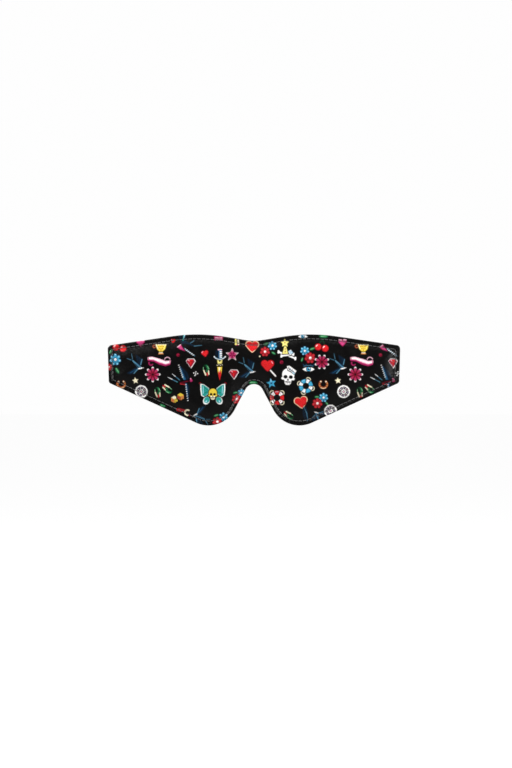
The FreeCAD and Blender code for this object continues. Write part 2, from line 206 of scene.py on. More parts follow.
def tube_faces(rings, sides, start=0):
    """Faces of a closed tube: quads between its rings and a cap at each end."""
    last = start + (rings - 1) * sides
    caps = [range(start, start + sides), range(last + sides - 1, last - 1, -1)]
    return loop_quads(rings, sides, start) + [list(cap) for cap in caps]


def filled(loop, inner):
    """Triangles that fill a closed loop, through the inner points."""
    count = len(loop)
    points = [Vector(p) for p in np.concatenate([loop, inner])]
    edges = [(i, (i + 1) % count) for i in range(count)]
    made, _, faces, *_ = delaunay_2d_cdt(points, edges, [], 1, 1e-6)
    if len(made) != len(points):
        raise RuntimeError("points that fill a loop were merged")
    return [list(face) for face in faces]


def panel(name, loops, depths, grid, grid_depth):
    """A closed panel from its hidden inner loop, out round its edge and in over its face.

    Gives the piece and its points, loop by loop and then the grid's.
    """
    count = len(EDGE)
    rings = [np.stack([loop[:, 0], depth * np.ones(count), loop[:, 1]], 1)
             for loop, depth in zip(loops, depths)]
    vertices = np.concatenate(rings + [np.stack([grid[:, 0], grid_depth, grid[:, 1]], 1)])
    last = (len(rings) - 1) * count
    faces = loop_quads(len(rings), count)
    faces += [[last + i for i in face] for face in filled(loops[-1], grid)]
    faces += [face[::-1] for face in filled(loops[0], np.zeros((0, 2)))]
    return new_piece(name, vertices, faces), vertices


def inner_points(spacing, margin):
    """A triangular grid of points that lie further than margin inside the outline."""
    xs = np.arange(-TEMPLE[0], TEMPLE[0], spacing)
    zs = np.arange(EDGE[:, 1].min(), EDGE[:, 1].max(), spacing * math.sqrt(3) / 2)
    x, z = np.meshgrid(xs, zs)
    x = x + (np.arange(len(zs)) % 2)[:, None] * spacing / 2
    grid = np.stack([x.ravel(), z.ravel()], 1)
    grid = grid[inside(*grid.T, EDGE)]
    distance, travel = edge_distance(grid)
    keep = distance > margin
    return grid[keep], distance[keep], travel[keep]


# ================================================================ the print

def srgb(red, green, blue):
    """A colour given as on a screen, 0 to 255, in linear light."""
    value = np.array([red, green, blue]) / 255
    return np.where(value <= 0.04045, value / 12.92, ((value + 0.055) / 1.055) ** 2.4)


INK = srgb(2, 2, 2)
GROUND = srgb(6, 5, 5)
WHITE = srgb(254, 252, 250)
CREAM = srgb(250, 240, 205)
YELLOW = srgb(230, 200, 66)
STRAW = srgb(240, 228, 130)
ORANGE = srgb(218, 140, 74)
RUST = srgb(162, 82, 50)
RED = srgb(214, 34, 38)
MAROON = srgb(168, 16, 30)
ROSE = srgb(188, 42, 50)
CRIMSON = srgb(160, 28, 60)
WINE = srgb(104, 8, 34)
PLUM = srgb(158, 32, 86)
PINK = srgb(200, 66, 124)
BLUSH = srgb(244, 190, 208)
LILAC = srgb(196, 170, 214)
BLUE = srgb(68, 168, 208)
SKY = srgb(168, 218, 240)
COBALT = srgb(26, 78, 116)
NAVY = srgb(8, 28, 46)
TEAL = srgb(40, 152, 142)
STEEL = srgb(78, 128, 154)
GREEN = srgb(36, 120, 72)
PINE = srgb(8, 62, 34)
MINT = srgb(140, 206, 150)

# How wide a shape's edge fades, and the farthest that a motif reaches from its middle.
SOFT_EDGE = 0.34
LARGEST_MOTIF = 19.0


def turned(across, up, degrees):
    """The same places along axes that are turned anticlockwise."""
    cos, sin = math.cos(math.radians(degrees)), math.sin(math.radians(degrees))
    return across * cos + up * sin, up * cos - across * sin


def angle_from(u, v, direction, cycle=TURN):
    """Angles from a direction, or from the nearest of those that repeat every cycle."""
    return (np.arctan2(v, u) - direction + cycle / 2) % cycle - cycle / 2


class Pen:
    """Fills flat shapes, in a motif's own millimetres, on the points of the print near it.

    A stroke's or ring's half is half its width. Angles are degrees, anticlockwise from the right.
    """

    def __init__(self, points, colours, x, z, size=1.0, turn=0.0):
        reach = LARGEST_MOTIF * size
        near = (np.abs(points[:, 0] - x) < reach) & (np.abs(points[:, 1] - z) < reach)
        self.index = np.flatnonzero(near)
        u, v = turned(points[self.index, 0] - x, points[self.index, 1] - z, turn)
        self.u, self.v = u / size, v / size
        self.size, self.colours = size, colours

    def fill(self, colour, distance):
        cover = np.clip(0.5 - distance * self.size / SOFT_EDGE, 0, 1)[:, None]
        self.colours[self.index] += (colour - self.colours[self.index]) * cover

    def to_disc(self, x, y, radius):
        return np.hypot(self.u - x, self.v - y) - radius

    def to_stroke(self, x0, y0, x1, y1):
        """Distance to a straight stroke, and how far along it the nearest place is, 0 to 1."""
        dx, dy = x1 - x0, y1 - y0
        share = np.clip(((self.u - x0) * dx + (self.v - y0) * dy) / (dx * dx + dy * dy), 0, 1)
        return np.hypot(self.u - x0 - share * dx, self.v - y0 - share * dy), share

    def disc(self, colour, x, y, radius):
        self.fill(colour, self.to_disc(x, y, radius))

    def discs(self, *rows):
        for row in rows:
            self.disc(*row)

    def ring(self, colour, x, y, radius, half):
        self.fill(colour, np.abs(self.to_disc(x, y, radius)) - half)

    def band(self, colour, radius, half, start, end):
        """Part of a ring about the middle, with square ends."""
        angle = angle_from(self.u, self.v, math.radians((start + end) / 2))
        past_end = (np.abs(angle) - math.radians((end - start) / 2)) * radius
        self.fill(colour, np.maximum(np.abs(self.to_disc(0, 0, radius)) - half, past_end))

    def arc(self, colour, x, y, radius, half, start, end):
        """Part of a ring, with round ends."""
        distance = np.abs(self.to_disc(x, y, radius)) - half
        middle, spread = math.radians((start + end) / 2), math.radians((end - start) / 2)
        angle = angle_from(self.u - x, self.v - y, middle)
        for side in (-1, 1):
            tip = middle + side * spread
            to_tip = self.to_disc(x + radius * math.cos(tip), y + radius * math.sin(tip), half)
            distance = np.where(angle * side > spread, to_tip, distance)
        self.fill(colour, distance)

    def oval(self, colour, x, y, half_u, half_v, turn=0.0):
        along, over = turned(self.u - x, self.v - y, turn)
        self.fill(colour, (np.hypot(along / half_u, over / half_v) - 1) * min(half_u, half_v))

    def line(self, colour, x0, y0, x1, y1, start, end=None):
        """A stroke with half width start at one end and end at the other."""
        gap, share = self.to_stroke(x0, y0, x1, y1)
        self.fill(colour, gap - start - ((start if end is None else end) - start) * share)

    def lines(self, *rows):
        for row in rows:
            self.line(*row)

    def dashes(self, colour, x0, y0, x1, y1, half, count):
        """Short slanted bars across a stroke, as on a striped feather."""
        for k in range(count):
            share = (k + 0.5) / count
            x, y = x0 + (x1 - x0) * share, y0 + (y1 - y0) * share
            self.line(colour, x - half, y - 0.25 * half, x + half, y + 0.25 * half, 0.2)

    def area(self, colour, *corners):
        """A polygon."""
        nearest = np.minimum.reduce([self.to_stroke(*one, *next_one)[0] for one, next_one
                                     in zip(corners, [*corners[1:], corners[0]])])
        self.fill(colour, np.where(inside(self.u, self.v, corners), -nearest, nearest))

    def even(self, colour, *right):
        """A polygon that is the same on both sides of the middle, from its right-hand corners."""
        self.area(colour, *right, *[(-x, y) for x, y in reversed(right) if x])

    def petals(self, colour, count, near, far, half, phase=90.0):
        """A rosette of ovals from radius near to radius far."""
        angle = angle_from(self.u, self.v, math.radians(phase), TURN / count)
        radius = np.hypot(self.u, self.v)
        length = (far - near) / 2
        along, over = radius * np.cos(angle) - near - length, radius * np.sin(angle)
        self.fill(colour, (np.hypot(along / length, over / half) - 1) * half)

    def star(self, colour, outer, inner, phase=90.0, x=0.0, y=0.0):
        """A star with five tips."""
        angles = np.radians(phase + np.arange(10) * 36)
        reach = np.where(np.arange(10) % 2, inner, outer)
        self.area(colour, *zip(x + reach * np.cos(angles), y + reach * np.sin(angles)))

    def heart(self, colour, width, y=0.0):
        lobes = [self.to_disc(x * width, y + 0.13 * width, 0.27 * width) for x in (-0.24, 0.24)]
        self.fill(colour, np.minimum(*lobes))
        self.even(colour, *[(a * width, y + b * width) for a, b in (
            (0.0, -0.50), (0.14, -0.40), (0.30, -0.22), (0.43, -0.03), (0.49, 0.06), (0.30, 0.20),
            (0.0, 0.12))])


def around(radius, *degrees):
    """Places on a circle about the middle."""
    angles = np.radians(degrees)
    return list(zip(radius * np.cos(angles), radius * np.sin(angles)))


def cherries(pen):
    pen.lines((PINE, 0.6, 2.2, 3.4, 5.6, 0.22), (PINE, 5, 1, 3.6, 5.6, 0.22))
    for x, y in ((0, 0), (5.2, -1.05)):
        pen.discs((INK, x, y, 3), (MAROON, x, y, 2.6), (RED, x + 0.15, y + 0.2, 2.2))
        pen.arc(WHITE, x, y, 1.5, 0.26, 110, 160)


def flower(pen, petal, deep):
    pen.disc(INK, 0, 0, 4.1)
    pen.petals(deep, 7, 0.6, 4.1, 1.45)
    pen.petals(petal, 7, 1.2, 3.9, 1.08)
    pen.petals(INK, 7, 2.2, 4.4, 0.26, phase=115.7)
    pen.arc(INK, 0, 0, 2.3, 0.15, 190, 330)
    pen.discs((deep, 0, 0, 1.5), (WHITE, 0.1, 0, 0.95), (deep, 0.4, -0.3, 0.25))


def blue_flower(pen):
    flower(pen, BLUE, COBALT)
    pen.petals(SKY, 7, 2.9, 3.8, 0.4)


def red_flower(pen):
    flower(pen, ROSE, MAROON)


def leaf(pen):
    pen.oval(PINE, 0, 0, 2.9, 1.4)
    pen.oval(GREEN, 0, 0, 2.5, 1.05)
    pen.line(MINT, -1.6, 0.15, 1.7, 0.15, 0.2, 0.12)


def horseshoe(pen):
    pen.arc(INK, 0, 0, 3, 1.35, 128, 412)
    pen.arc(RUST, 0, 0, 3, 0.82, 130, 410)
    pen.arc(ORANGE, 0, 0, 3.2, 0.28, 175, 390)
    pen.arc(CREAM, 0, 0, 3.4, 0.16, 235, 305)
    for x, y in around(2.9, 150, 185, 220, 320, 355, 390):
        pen.disc(INK, x, y, 0.38)
    for x, y in around(3, 134, 406):
        pen.disc(CREAM, x, y, 0.55)


def swallow(pen):
    pen.area(NAVY, (0.5, 0.5), (-1.2, 7.8), (1.5, 6.2), (3.7, 4.7), (2.6, 0))
    pen.area(NAVY, (-0.5, -1.5), (-7.8, -6), (-5, -6.8), (-2.2, -6.4), (1.5, -2.5))
    pen.lines(
        (STEEL, -3.2, 3.3, -7.6, 5, 0.24, 0.1), (STEEL, -3.2, 3.3, -4.2, 8.6, 0.22, 0.1),
        (INK, -3.4, 3.5, 1.6, -1.5, 0.9, 1.8), (STEEL, -3.2, 3.3, 1.5, -1.4, 0.4, 1.15),
        (NAVY, -1.8, 1.3, 1.1, -1.8, 0.2, 0.45), (COBALT, -1, 2, 1.8, -0.5, 0.12, 0.3),
        (INK, 0.6, 2, 1, 6.2, 0.25, 0.15), (STEEL, 2.7, 0.4, 3.6, 4.3, 0.36, 0.26),
        (STEEL, 0.7, -2.6, -2.3, -6.1, 0.42, 0.3), (COBALT, -1.2, -3.4, -5.2, -5.8, 0.25, 0.16),
        (WHITE, 1.2, -2.7, 3.2, -2.2, 0.42, 0.55))
    pen.disc(STEEL, 2.6, -1.6, 0.6)
    pen.line(WHITE, 3.2, -2.2, 4.9, -1.9, 0.34, 0.08)


def diving_swallow(pen):
    pen.area(NAVY, (-3.6, 3), (-3, -0.6), (-0.8, -4.6), (2.2, -3.2), (1.8, 3))
    pen.lines(
        (TEAL, 0.6, 2.8, -0.3, -1.6, 0.5, 0.25), (SKY, 1.1, 3, 0.2, 0, 0.28, 0.15),
        (INK, -1.2, 2.8, -2, -1.6, 0.3), (STEEL, 5.4, -3.5, 8.2, -1.4, 0.22, 0.12),
        (NAVY, 2, -3, 8.2, -5.6, 0.9, 0.4), (STEEL, 8.2, -5.7, 13.8, -5.1, 0.24, 0.12))


def small_star(pen):
    pen.star(INK, 3.1, 1.6)
    pen.star(CREAM, 2.4, 1.15)


def blue_star(pen):
    pen.star(INK, 4.6, 2.4, phase=100)
    pen.star(BLUE, 3.8, 1.8, phase=100)
    pen.star(COBALT, 1.6, 0.6, phase=100)
    pen.line(SKY, -0.5, 3, -0.2, 0.8, 0.25, 0.15)


def wheel(pen):
    pen.disc(INK, 0, 0, 5.1)
    pen.ring(WHITE, 0, 0, 4.25, 0.46)
    for k, (u, v) in enumerate(around(1, *range(10, 370, 45))):
        pen.disc(WHITE, 4.35 * u, 4.35 * v, 0.5)
        pen.line(WHITE, 1.3 * u, 1.3 * v, 3.9 * u, 3.9 * v, 0.13, 0.2)
        spot = LILAC if k % 3 else BLUSH
        pen.disc(spot, 2.7 * (u - 0.42 * v), 2.7 * (v + 0.42 * u), 0.32)
    pen.ring(WHITE, 0, 0, 1.35, 0.32)
    pen.disc(BLUSH, 0, 0, 0.6)


def cup(pen):
    pen.ring(RUST, -5.6, 1.3, 1.15, 0.35)
    pen.even(INK, (5.1, 3.2), (3.8, -1.6), (1.4, -3.6))
    pen.even(YELLOW, (4.4, 2.6), (3.4, -1), (1.3, -3))
    for x in (-3.9, -2.3, -0.8, 0.8, 2.3, 3.9):
        pen.disc(CREAM, x, 2.7, 0.5)
    pen.lines((CREAM, -3.9, 1.9, -2.6, -0.9, 0.3, 0.2), (STRAW, 3.3, 1.7, 2.3, -1.1, 0.35, 0.2))
    for x, y in ((-2.2, 1.2), (-0.8, 1.3), (0.8, 1.3), (2.2, 1.2), (-1.3, -0.5), (0, -0.9),
                 (1.3, -0.5), (0, -2.1)):
        pen.disc(RUST, x, y, 0.4)
    pen.even(ORANGE, (1.5, -3.9), (2.2, -5.2))
    pen.line(CREAM, -1.3, -4.1, 1.3, -4.1, 0.3)


def ribbon_banner(pen):
    pen.arc(INK, 6.1, 0.6, 2.1, 0.75, 20, 165)
    pen.arc(BLUSH, 6.1, 0.6, 2.1, 0.24, 20, 165)
    pen.arc(PLUM, -6.1, -1.7, 1.5, 0.45, 150, 320)
    top = [(-8.5, 2.7), (-5, 2.9), (0.5, 1.4), (4.8, -0.2), (8.5, 0.3)]
    foot = [(8.2, -2.8), (4.6, -4), (0, -2.7), (-4, -0.5), (-8.4, 0)]
    pen.area(INK, (-9.1, 3.3), (-5, 3.5), (0.5, 2), (4.8, 0.4), (9.1, 0.9), (8.8, -3.3),
             (4.6, -4.6), (0, -3.3), (-4, -1.1), (-9, -0.6))
    for share, colour in ((1, PLUM), (0.74, PINK), (0.62, BLUSH), (0.46, WHITE), (0.16, BLUSH)):
        lower = [(x1 + (x0 - x1) * share, y1 + (y0 - y1) * share)
                 for (x0, y0), (x1, y1) in zip(foot, reversed(top))]
        pen.area(colour, *top, *lower)
    pen.lines((PLUM, -8.2, 2.3, -7.6, 0.6, 0.35, 0.2), (PINK, 8.1, 0.1, 7.8, -2.4, 0.35, 0.2))


def dahlia(pen):
    pen.petals(INK, 8, 1, 6.2, 1.5)
    pen.petals(WHITE, 8, 3.9, 5.7, 0.78)
    pen.petals(PINK, 8, 1.2, 5, 1)
    pen.petals(CRIMSON, 8, 0.8, 4.8, 0.8)
    pen.disc(CRIMSON, 0, 0, 2)
    pen.petals(PINK, 8, 2.8, 4.3, 0.2)
    pen.petals(INK, 8, 1.6, 4.6, 0.3, phase=112.5)
    pen.petals(WINE, 8, 0.8, 2.4, 0.34, phase=112.5)
    pen.discs((WINE, 0, 0, 1.2), (INK, 0, 0, 0.6))


def pink_heart(pen):
    pen.heart(INK, 7.4)
    pen.heart(PLUM, 6.2)
    pen.heart(PINK, 4.9, y=0.15)
    pen.lines((BLUSH, -2.5, 1.9, -0.9, 1.9, 0.5), (BLUSH, 0.9, 1.9, 2.5, 1.9, 0.5))


def red_heart(pen):
    pen.heart(INK, 6.8)
    pen.heart(MAROON, 5.8)
    pen.heart(RED, 4.8, y=0.1)
    pen.arc(BLUSH, -1.4, 0.8, 0.9, 0.2, 90, 175)


def big_heart(pen):
    for colour, width in ((INK, 11.2), (ORANGE, 10.2), (CREAM, 9.8), (MAROON, 9.1), (RED, 8.7)):
        pen.heart(colour, width)
    pen.arc(MAROON, 0.6, 0.2, 3.2, 0.3, 280, 350)


def lolly(pen):
    pen.lines((INK, 0.8, -1.8, 6.2, -7.8, 1), (WHITE, 0.8, -1.8, 6, -7.6, 0.5))
    pen.heart(INK, 10.8, y=0.6)
    pen.heart(MAROON, 9.8, y=0.6)
    pen.heart(RED, 9, y=0.7)
    pen.arc(BLUSH, 2.2, 1.8, 1.6, 0.22, 5, 60)


def gem(pen):
    pen.area(INK, (-4.5, 1.3), (-2.7, 4), (2.8, 4), (4.5, 1.3), (0.1, -4.8))
    pen.area(WHITE, (-3.6, 1.4), (-2.2, 3.2), (2.4, 3.2), (3.7, 1.4), (0.3, -4))
    pen.area(CRIMSON, (-3.4, 1.3), (-2.1, 2.9), (2.1, 2.9), (3.2, 1.2), (0.1, -3.5))
    pen.area(RED, (-1.9, 2.5), (1.4, 2.4), (1.6, 0.9), (0, -2.4), (-1.8, 0.9))
    pen.lines(
        (INK, -3.1, 1, 2.6, 1, 0.16), (WINE, -1.2, 1, -0.1, -2.8, 0.17),
        (WINE, 1.2, 1, 0, -2.8, 0.17), (BLUSH, -1.8, 2.3, -0.9, 1.4, 0.16))


def dart(pen):
    pen.lines((INK, 1.4, 0.6, 9.8, -5.6, 0.8, 0.4), (STEEL, 1.6, 0.4, 9.8, -5.5, 0.42, 0.2))
    pen.dashes(WHITE, 2, 0.1, 9.4, -5.2, 0.42, 6)
    pen.area(INK, (-4, 1.4), (-0.8, 4), (1.4, 1.4), (3.7, -2.5), (-1.6, -1.4))
    pen.area(PLUM, (-3.3, 1.1), (-0.7, 3.2), (0.8, 0.9), (2.8, -2), (-1.2, -0.7))
    pen.area(PINK, (-3, 1.1), (-0.8, 2.7), (0.5, 0.5), (1.6, -1.1), (-0.9, -0.1))
    pen.line(BLUSH, -3, 1.1, -0.8, 2.9, 0.3)


def tiny_rose(pen):
    pen.disc(WINE, 0, 0, 1.3)
    pen.arc(CRIMSON, 0, 0, 0.7, 0.22, 20, 230)


def great_swallow(pen):
    pen.area(NAVY, (-4.2, 11), (-1, 8.6), (2, 5.4), (3.2, 2), (1, -1.2), (-1.4, 0.8))
    pen.area(INK, (-11, 2), (-8.6, 4), (-3, 1), (-1, -2), (-5, -2.6))
    pen.area(NAVY, (0, -2), (3.2, -4), (3.6, -8), (2.6, -15), (0.8, -8))
    pen.lines(
        (STEEL, -12.2, 1.9, -4.8, -1.7, 0.12, 0.3), (WHITE, -12.4, 2.1, -9.4, 0.6, 0.12, 0.22),
        (STEEL, -9, 4.3, -3.9, 0.2, 0.1, 0.26), (WHITE, -9.2, 4.5, -7, 2.8, 0.1, 0.18),
        (TEAL, -5.4, -1.6, -3.2, -0.7, 0.3, 0.45), (COBALT, -3.4, 10, 0, 0.7, 0.25, 0.75),
        (STEEL, -3.2, 8.2, -0.7, 0.9, 0.22, 0.42))
    pen.dashes(WHITE, -4.7, 11.8, -1.3, 1.6, 0.26, 7)
    pen.lines(
        (INK, 0.5, 5.6, 1.4, 1.2, 0.15), (COBALT, 1.1, -2.8, 2.4, -14.6, 0.6, 0.25),
        (STEEL, 0.9, -2.8, 1.9, -11.6, 0.22, 0.16))
    pen.dashes(WHITE, 0.7, -2.6, 2.4, -16, 0.26, 8)
    pen.lines(
        (INK, -4, -1.8, 4.6, -0.5, 1.4, 1.1), (WINE, -3.4, -2, 2.4, -0.8, 0.26, 0.36),
        (ROSE, -3.2, -2.8, 0.2, -3.2, 0.26, 0.32))
    pen.discs((INK, 4.8, -0.2, 1.9), (PLUM, 4.8, -0.3, 1.05))
    pen.oval(PINK, 4.7, 0.5, 0.42, 1, 10)
    pen.disc(BLUSH, 4.3, 1.1, 0.3)


def rosebud(pen):
    pen.oval(INK, 0, 0.2, 3.4, 5.7)
    pen.oval(PINE, 0.2, 1.8, 2.6, 3.4)
    pen.oval(INK, -0.7, 1.6, 1.1, 2.9)
    pen.lines(
        (GREEN, 1.2, 4.2, 1.9, 0.2, 0.5, 0.4), (MINT, 2, 3.4, 2.5, 0.8, 0.22, 0.18),
        (MINT, -1.9, 3.2, -2.3, 0.9, 0.24, 0.16), (CREAM, -2.1, 0.6, -1.5, -3.4, 0.5, 0.55),
        (CREAM, 1.8, -0.6, 1.2, -3.6, 0.42, 0.45), (GREEN, 0.3, 0.4, 0.2, -1.6, 0.35, 0.25))
    pen.area(MAROON, (-0.7, -1.9), (0.8, -1.9), (0.9, -3.6), (0, -5), (-0.9, -3.6))
    pen.line(ROSE, -0.4, -2.6, -0.1, -4.2, 0.22)


def dagger(pen):
    pen.area(NAVY, (-3.1, 10.2), (-0.8, 10.6), (-0.8, 4.6), (-3.1, 6))
    pen.lines(
        (INK, -4.6, 5.4, 4.6, 5.4, 1.3), (INK, 0, 10.6, 0, 5, 2),
        (BLUSH, -1.2, 10.9, 1.3, 10.9, 0.42), (STEEL, 0.5, 9.9, 0.5, 5, 1),
        (COBALT, -0.7, 9.8, -0.7, 5.2, 0.45))
    for k in range(4):
        pen.line(WHITE, 0.2, 9.5 - 1.35 * k, 1.4, 9.2 - 1.35 * k, 0.34)
    pen.arc(STEEL, 0, 8.9, 5.2, 0.45, 222, 318)
    pen.arc(WHITE, 0, 9, 5.5, 0.18, 217, 323)
    pen.discs((WHITE, -4.2, 5.6, 0.42), (WHITE, 4.2, 5.6, 0.42))
    pen.even(STRAW, (2, 2.9), (1.5, 0.4))
    pen.even(INK, (0.9, 3), (0, 1.2))
    for k in range(4):
        pen.disc(CREAM, -1.9 + 1.25 * k, -0.9 + 0.35 * (k % 2), 0.28)
    pen.even(INK, (2.5, -1.7), (1.8, -7), (0, -13.4))
    pen.even(YELLOW, (1.8, -2.2), (1.3, -6.6), (0, -10.4))
    pen.area(RED, (-1.2, -6), (0, -4.7), (1.2, -6), (0.9, -8.6), (0, -12.4), (-0.9, -8.6))
    pen.area(CREAM, (-0.9, -2.6), (0.5, -2.6), (-0.4, -6.4))
    pen.line(MAROON, 0.3, -4.6, 0.1, -10.6, 0.24, 0.14)


def star_flower(pen):
    pen.star(INK, 5.9, 3.3)
    pen.star(WHITE, 5.2, 2.4)
    pen.star(PLUM, 4.5, 2.5)
    pen.disc(PLUM, 0, 0, 2.4)
    pen.petals(BLUSH, 5, 2.6, 3.5, 0.26)
    pen.petals(PINK, 5, 1.3, 2.6, 0.3)
    pen.petals(WINE, 5, 0.9, 2.5, 0.36, phase=126)
    pen.discs((WINE, 0, 0, 0.9), (PINK, 0, 0, 0.4))


def skull(pen, bone, teeth, size=1):
    def scaled(*values):
        return [value * size for value in values]

    def even(colour, *right):
        pen.even(colour, *[scaled(*corner) for corner in right])

    def ovals(colour, *rows):
        for row in rows:
            pen.oval(colour, *scaled(*row))

    ovals(INK, (0, 1.1, 5.1, 5.2))
    even(INK, (3.4, -1.4), (3, -6.6))
    ovals(bone, (0, 1.2, 4.3, 4.4), (-3.5, -1.7, 1.2, 0.9), (3.5, -1.7, 1.2, 0.9))
    even(teeth, (2.6, -2.2), (2.2, -4.9), (1.2, -6))
    ovals(INK, (-1.85, -0.5, 1.45, 1.3), (1.85, -0.5, 1.45, 1.3))
    even(INK, (0.85, -3.1), (0, -1.2))
    pen.line(INK, *scaled(-2, -4, 2, -4, 0.3))
    for x in (-1.1, 0, 1.1):
        pen.line(INK, *scaled(x, -3.6, x, -5.2, 0.16))


def capped_skull(pen):
    skull(pen, WHITE, WHITE)
    pen.area(INK, (-2, 7.4), (0.2, 8.2), (6.2, 4.4), (4.5, 0.9), (1.6, 2.8), (-0.8, 3.8))
    pen.area(WHITE, (-1.4, 6.9), (0.3, 7.4), (5.5, 4.1), (4.1, 1.6), (1.7, 3.4), (-0.4, 4.3))
    for k, colour in enumerate((NAVY, STEEL, NAVY, STEEL)):
        pen.line(colour, -0.1 + 1.25 * k, 6.4 - 0.85 * k, 0.7 + 1.1 * k, 4.4 - 0.8 * k, 0.26)
    pen.lines((INK, -0.4, 5.5, 4.6, 2.6, 0.16), (SKY, 2.8, 2.9, 4.3, 1.9, 0.25))


def wings(pen):
    """A butterfly's right-hand wings."""
    pen.disc(MAROON, 9.4, 7.7, 0.85)
    pen.line(MAROON, 9.4, 7.7, 8.2, 7.2, 0.4, 0.2)
    pen.area(INK, (10, 8.2), (6.4, 7.8), (2, 4.6), (2, 0), (6.4, -3.3), (9.3, -1.8), (9.9, 3.4))
    pen.area(WHITE, (9.2, 7.5), (6.6, 7), (2.8, 4.2), (2.8, 0.5), (6.3, -2.5), (8.6, -1.2),
             (9.2, 3.2))
    pen.area(TEAL, (8.5, 6.9), (6.4, 6.5), (2.9, 4), (2.9, 0.6), (6.1, -2.2), (7.9, -1),
             (8.4, 3.1))
    pen.lines(
        (SKY, 7.2, 5.4, 7, 0.4, 0.22), (PINE, 3.4, 2.6, 6.2, 4.8, 0.16),
        (PINE, 3.3, 1.6, 6.4, 0.6, 0.16))
    pen.oval(INK, 4.6, -4.8, 3, 3.7, 25)
    pen.oval(WHITE, 4.8, -5, 2.3, 2.9, 25)
    pen.oval(TEAL, 4.5, -4.6, 2, 2.5, 25)
    pen.oval(SKY, 4.9, -5.6, 0.5, 0.9, 25)


def butterfly(pen):
    """Left wings with the pen mirrored, then right wings with it turned back."""
    for _ in range(2):
        pen.u = -pen.u
        wings(pen)
    skull(pen, YELLOW, CREAM, size=0.7)


def dice(pen):
    for x, y, face in ((0, 0, (CREAM, YELLOW, ORANGE)), (4.6, 2, (YELLOW, ORANGE, RUST))):
        pen.disc(INK, x, y, 3.4)
        corner = [(x + dx, y + dy) for dx, dy in around(2.7, 90, 30, -30, -90, -150, 150)]
        pen.area(face[0], corner[0], corner[1], (x, y), corner[5])
        pen.area(face[1], corner[1], corner[2], corner[3], (x, y))
        pen.area(face[2], corner[3], corner[4], corner[5], (x, y))
        pen.line(INK, x, y, x, y - 2.6, 0.14)
        pen.discs(
            (MAROON, x - 1.2, y - 0.6, 0.5), (INK, x + 1.2, y - 0.4, 0.35),
            (INK, x + 1.2, y - 1.6, 0.3))


def eye(pen):
    pen.fill(INK, np.maximum(pen.to_disc(0, -4.6, 6.6), pen.to_disc(0, 4.6, 6.6)))
    pen.fill(WHITE, np.maximum(pen.to_disc(0, -4.6, 5.9), pen.to_disc(0, 4.6, 5.9)))
    pen.discs(
        (INK, 0, 0.1, 1.6), (BLUE, 0, 0.1, 1.25), (INK, 0, 0.1, 0.65), (WHITE, 0.5, 0.6, 0.28))
    pen.arc(STEEL, 0, -4.6, 7, 0.14, 66, 114)
    for x, lean in ((-2.6, -0.8), (-1.2, -0.3), (1.2, 0.3), (2.6, 0.8)):
        pen.line(COBALT, x, 2.2, x + lean, 3.2, 0.18, 0.1)


def lifebuoy(pen, cloth):
    quarters = (45, 135, 225, 315)
    for x, y in around(4.9, *quarters):
        pen.disc(INK, x, y, 2.3)
        pen.ring(CREAM, x, y, 1.65, 0.24)
    pen.disc(INK, 0, 0, 5.5)
    pen.band(cloth, 3.75, 1.35, -180, 180)
    for angle, (x, y) in zip(quarters, around(3.75, *quarters)):
        pen.band(INK, 3.75, 1.4, angle - 23, angle + 23)
        pen.band(WHITE, 3.75, 1.3, angle - 15, angle + 15)
        pen.disc(cloth, x, y, 0.3)
    pen.arc(SKY, 0, 0, 4.4, 0.14, 78, 104)
    pen.discs((INK, 0, 0, 2.4), (GROUND, 0, 0, 1.9))


def blue_lifebuoy(pen):
    lifebuoy(pen, BLUE)


def red_lifebuoy(pen):
    lifebuoy(pen, RED)


def candle(pen):
    for x0, y0, x1, y1 in ((-5.2, -0.8, 8, -6), (-2.9, -4, 6.4, -2.6)):
        pen.lines((INK, x0, y0, x1, y1, 1.2), (WHITE, x0, y0, x1, y1, 0.6))
        for x, y in ((x0, y0), (x1, y1)):
            pen.discs((WHITE, x, y + 0.6, 0.7), (WHITE, x - 0.2, y - 0.6, 0.7))
    pen.area(INK, (-2.8, 4.2), (-0.9, 3.3), (-2.9, -3), (3, -3), (0.9, 3.3), (2.8, 4.2))
    pen.area(STRAW, (-0.7, 3.4), (-2.3, -2.4), (2.2, -2.4), (0.7, 3.4))
    pen.star(STRAW, 3.4, 1.8, x=-0.3, y=6.2)
    for x, y in ((-0.3, 6.4), (0, 1.4), (0, -0.6)):
        pen.oval(RUST, x, y, 0.4, 0.6)
    pen.area(INK, (1.8, -0.6), (4.4, 1.4), (6.8, -1.6), (3.8, -4.2))
    pen.area(WHITE, (2.3, -0.6), (4.3, 0.9), (6.1, -1.5), (3.8, -3.5))
    for k in range(3):
        pen.line(BLUE, 2.8 + k, 0.2 - 0.2 * k, 4 + 0.9 * k, -2.4 + 0.3 * k, 0.25)


def feather(pen):
    pen.area(NAVY, (-1.5, 5.2), (1.3, 5.4), (2, -1), (1.4, -5), (-0.8, -5.2), (-2.2, 0))
    pen.lines((STEEL, -0.6, 5.4, 1, 0.4, 0.16, 0.26), (STEEL, 1, 0.4, 0.9, -5.2, 0.26, 0.14))
    for k in range(5):
        pen.line(INK, 0.4, 4.2 - 1.8 * k, -1.6, 3.2 - 1.8 * k, 0.2)


def ribbon_tag(pen):
    pen.even(PLUM, (3.3, 1.6), (3.3, -1.5))
    pen.lines((BLUSH, -2.6, -0.5, 2.6, -0.5, 0.26), (BLUSH, -2.6, 0.6, 2.6, 0.6, 0.2))


def red_ribbon(pen):
    pen.lines(
        (INK, -4, 1.8, 4.2, -0.6, 1.7), (MAROON, -4, 1.8, 1, 0.6, 1.1),
        (ROSE, -3.4, 2, 0.2, 1.1, 0.5))
    pen.arc(CREAM, 3.2, -0.6, 2, 0.5, 60, 300)
    pen.disc(WINE, 4.4, -2.4, 0.9)


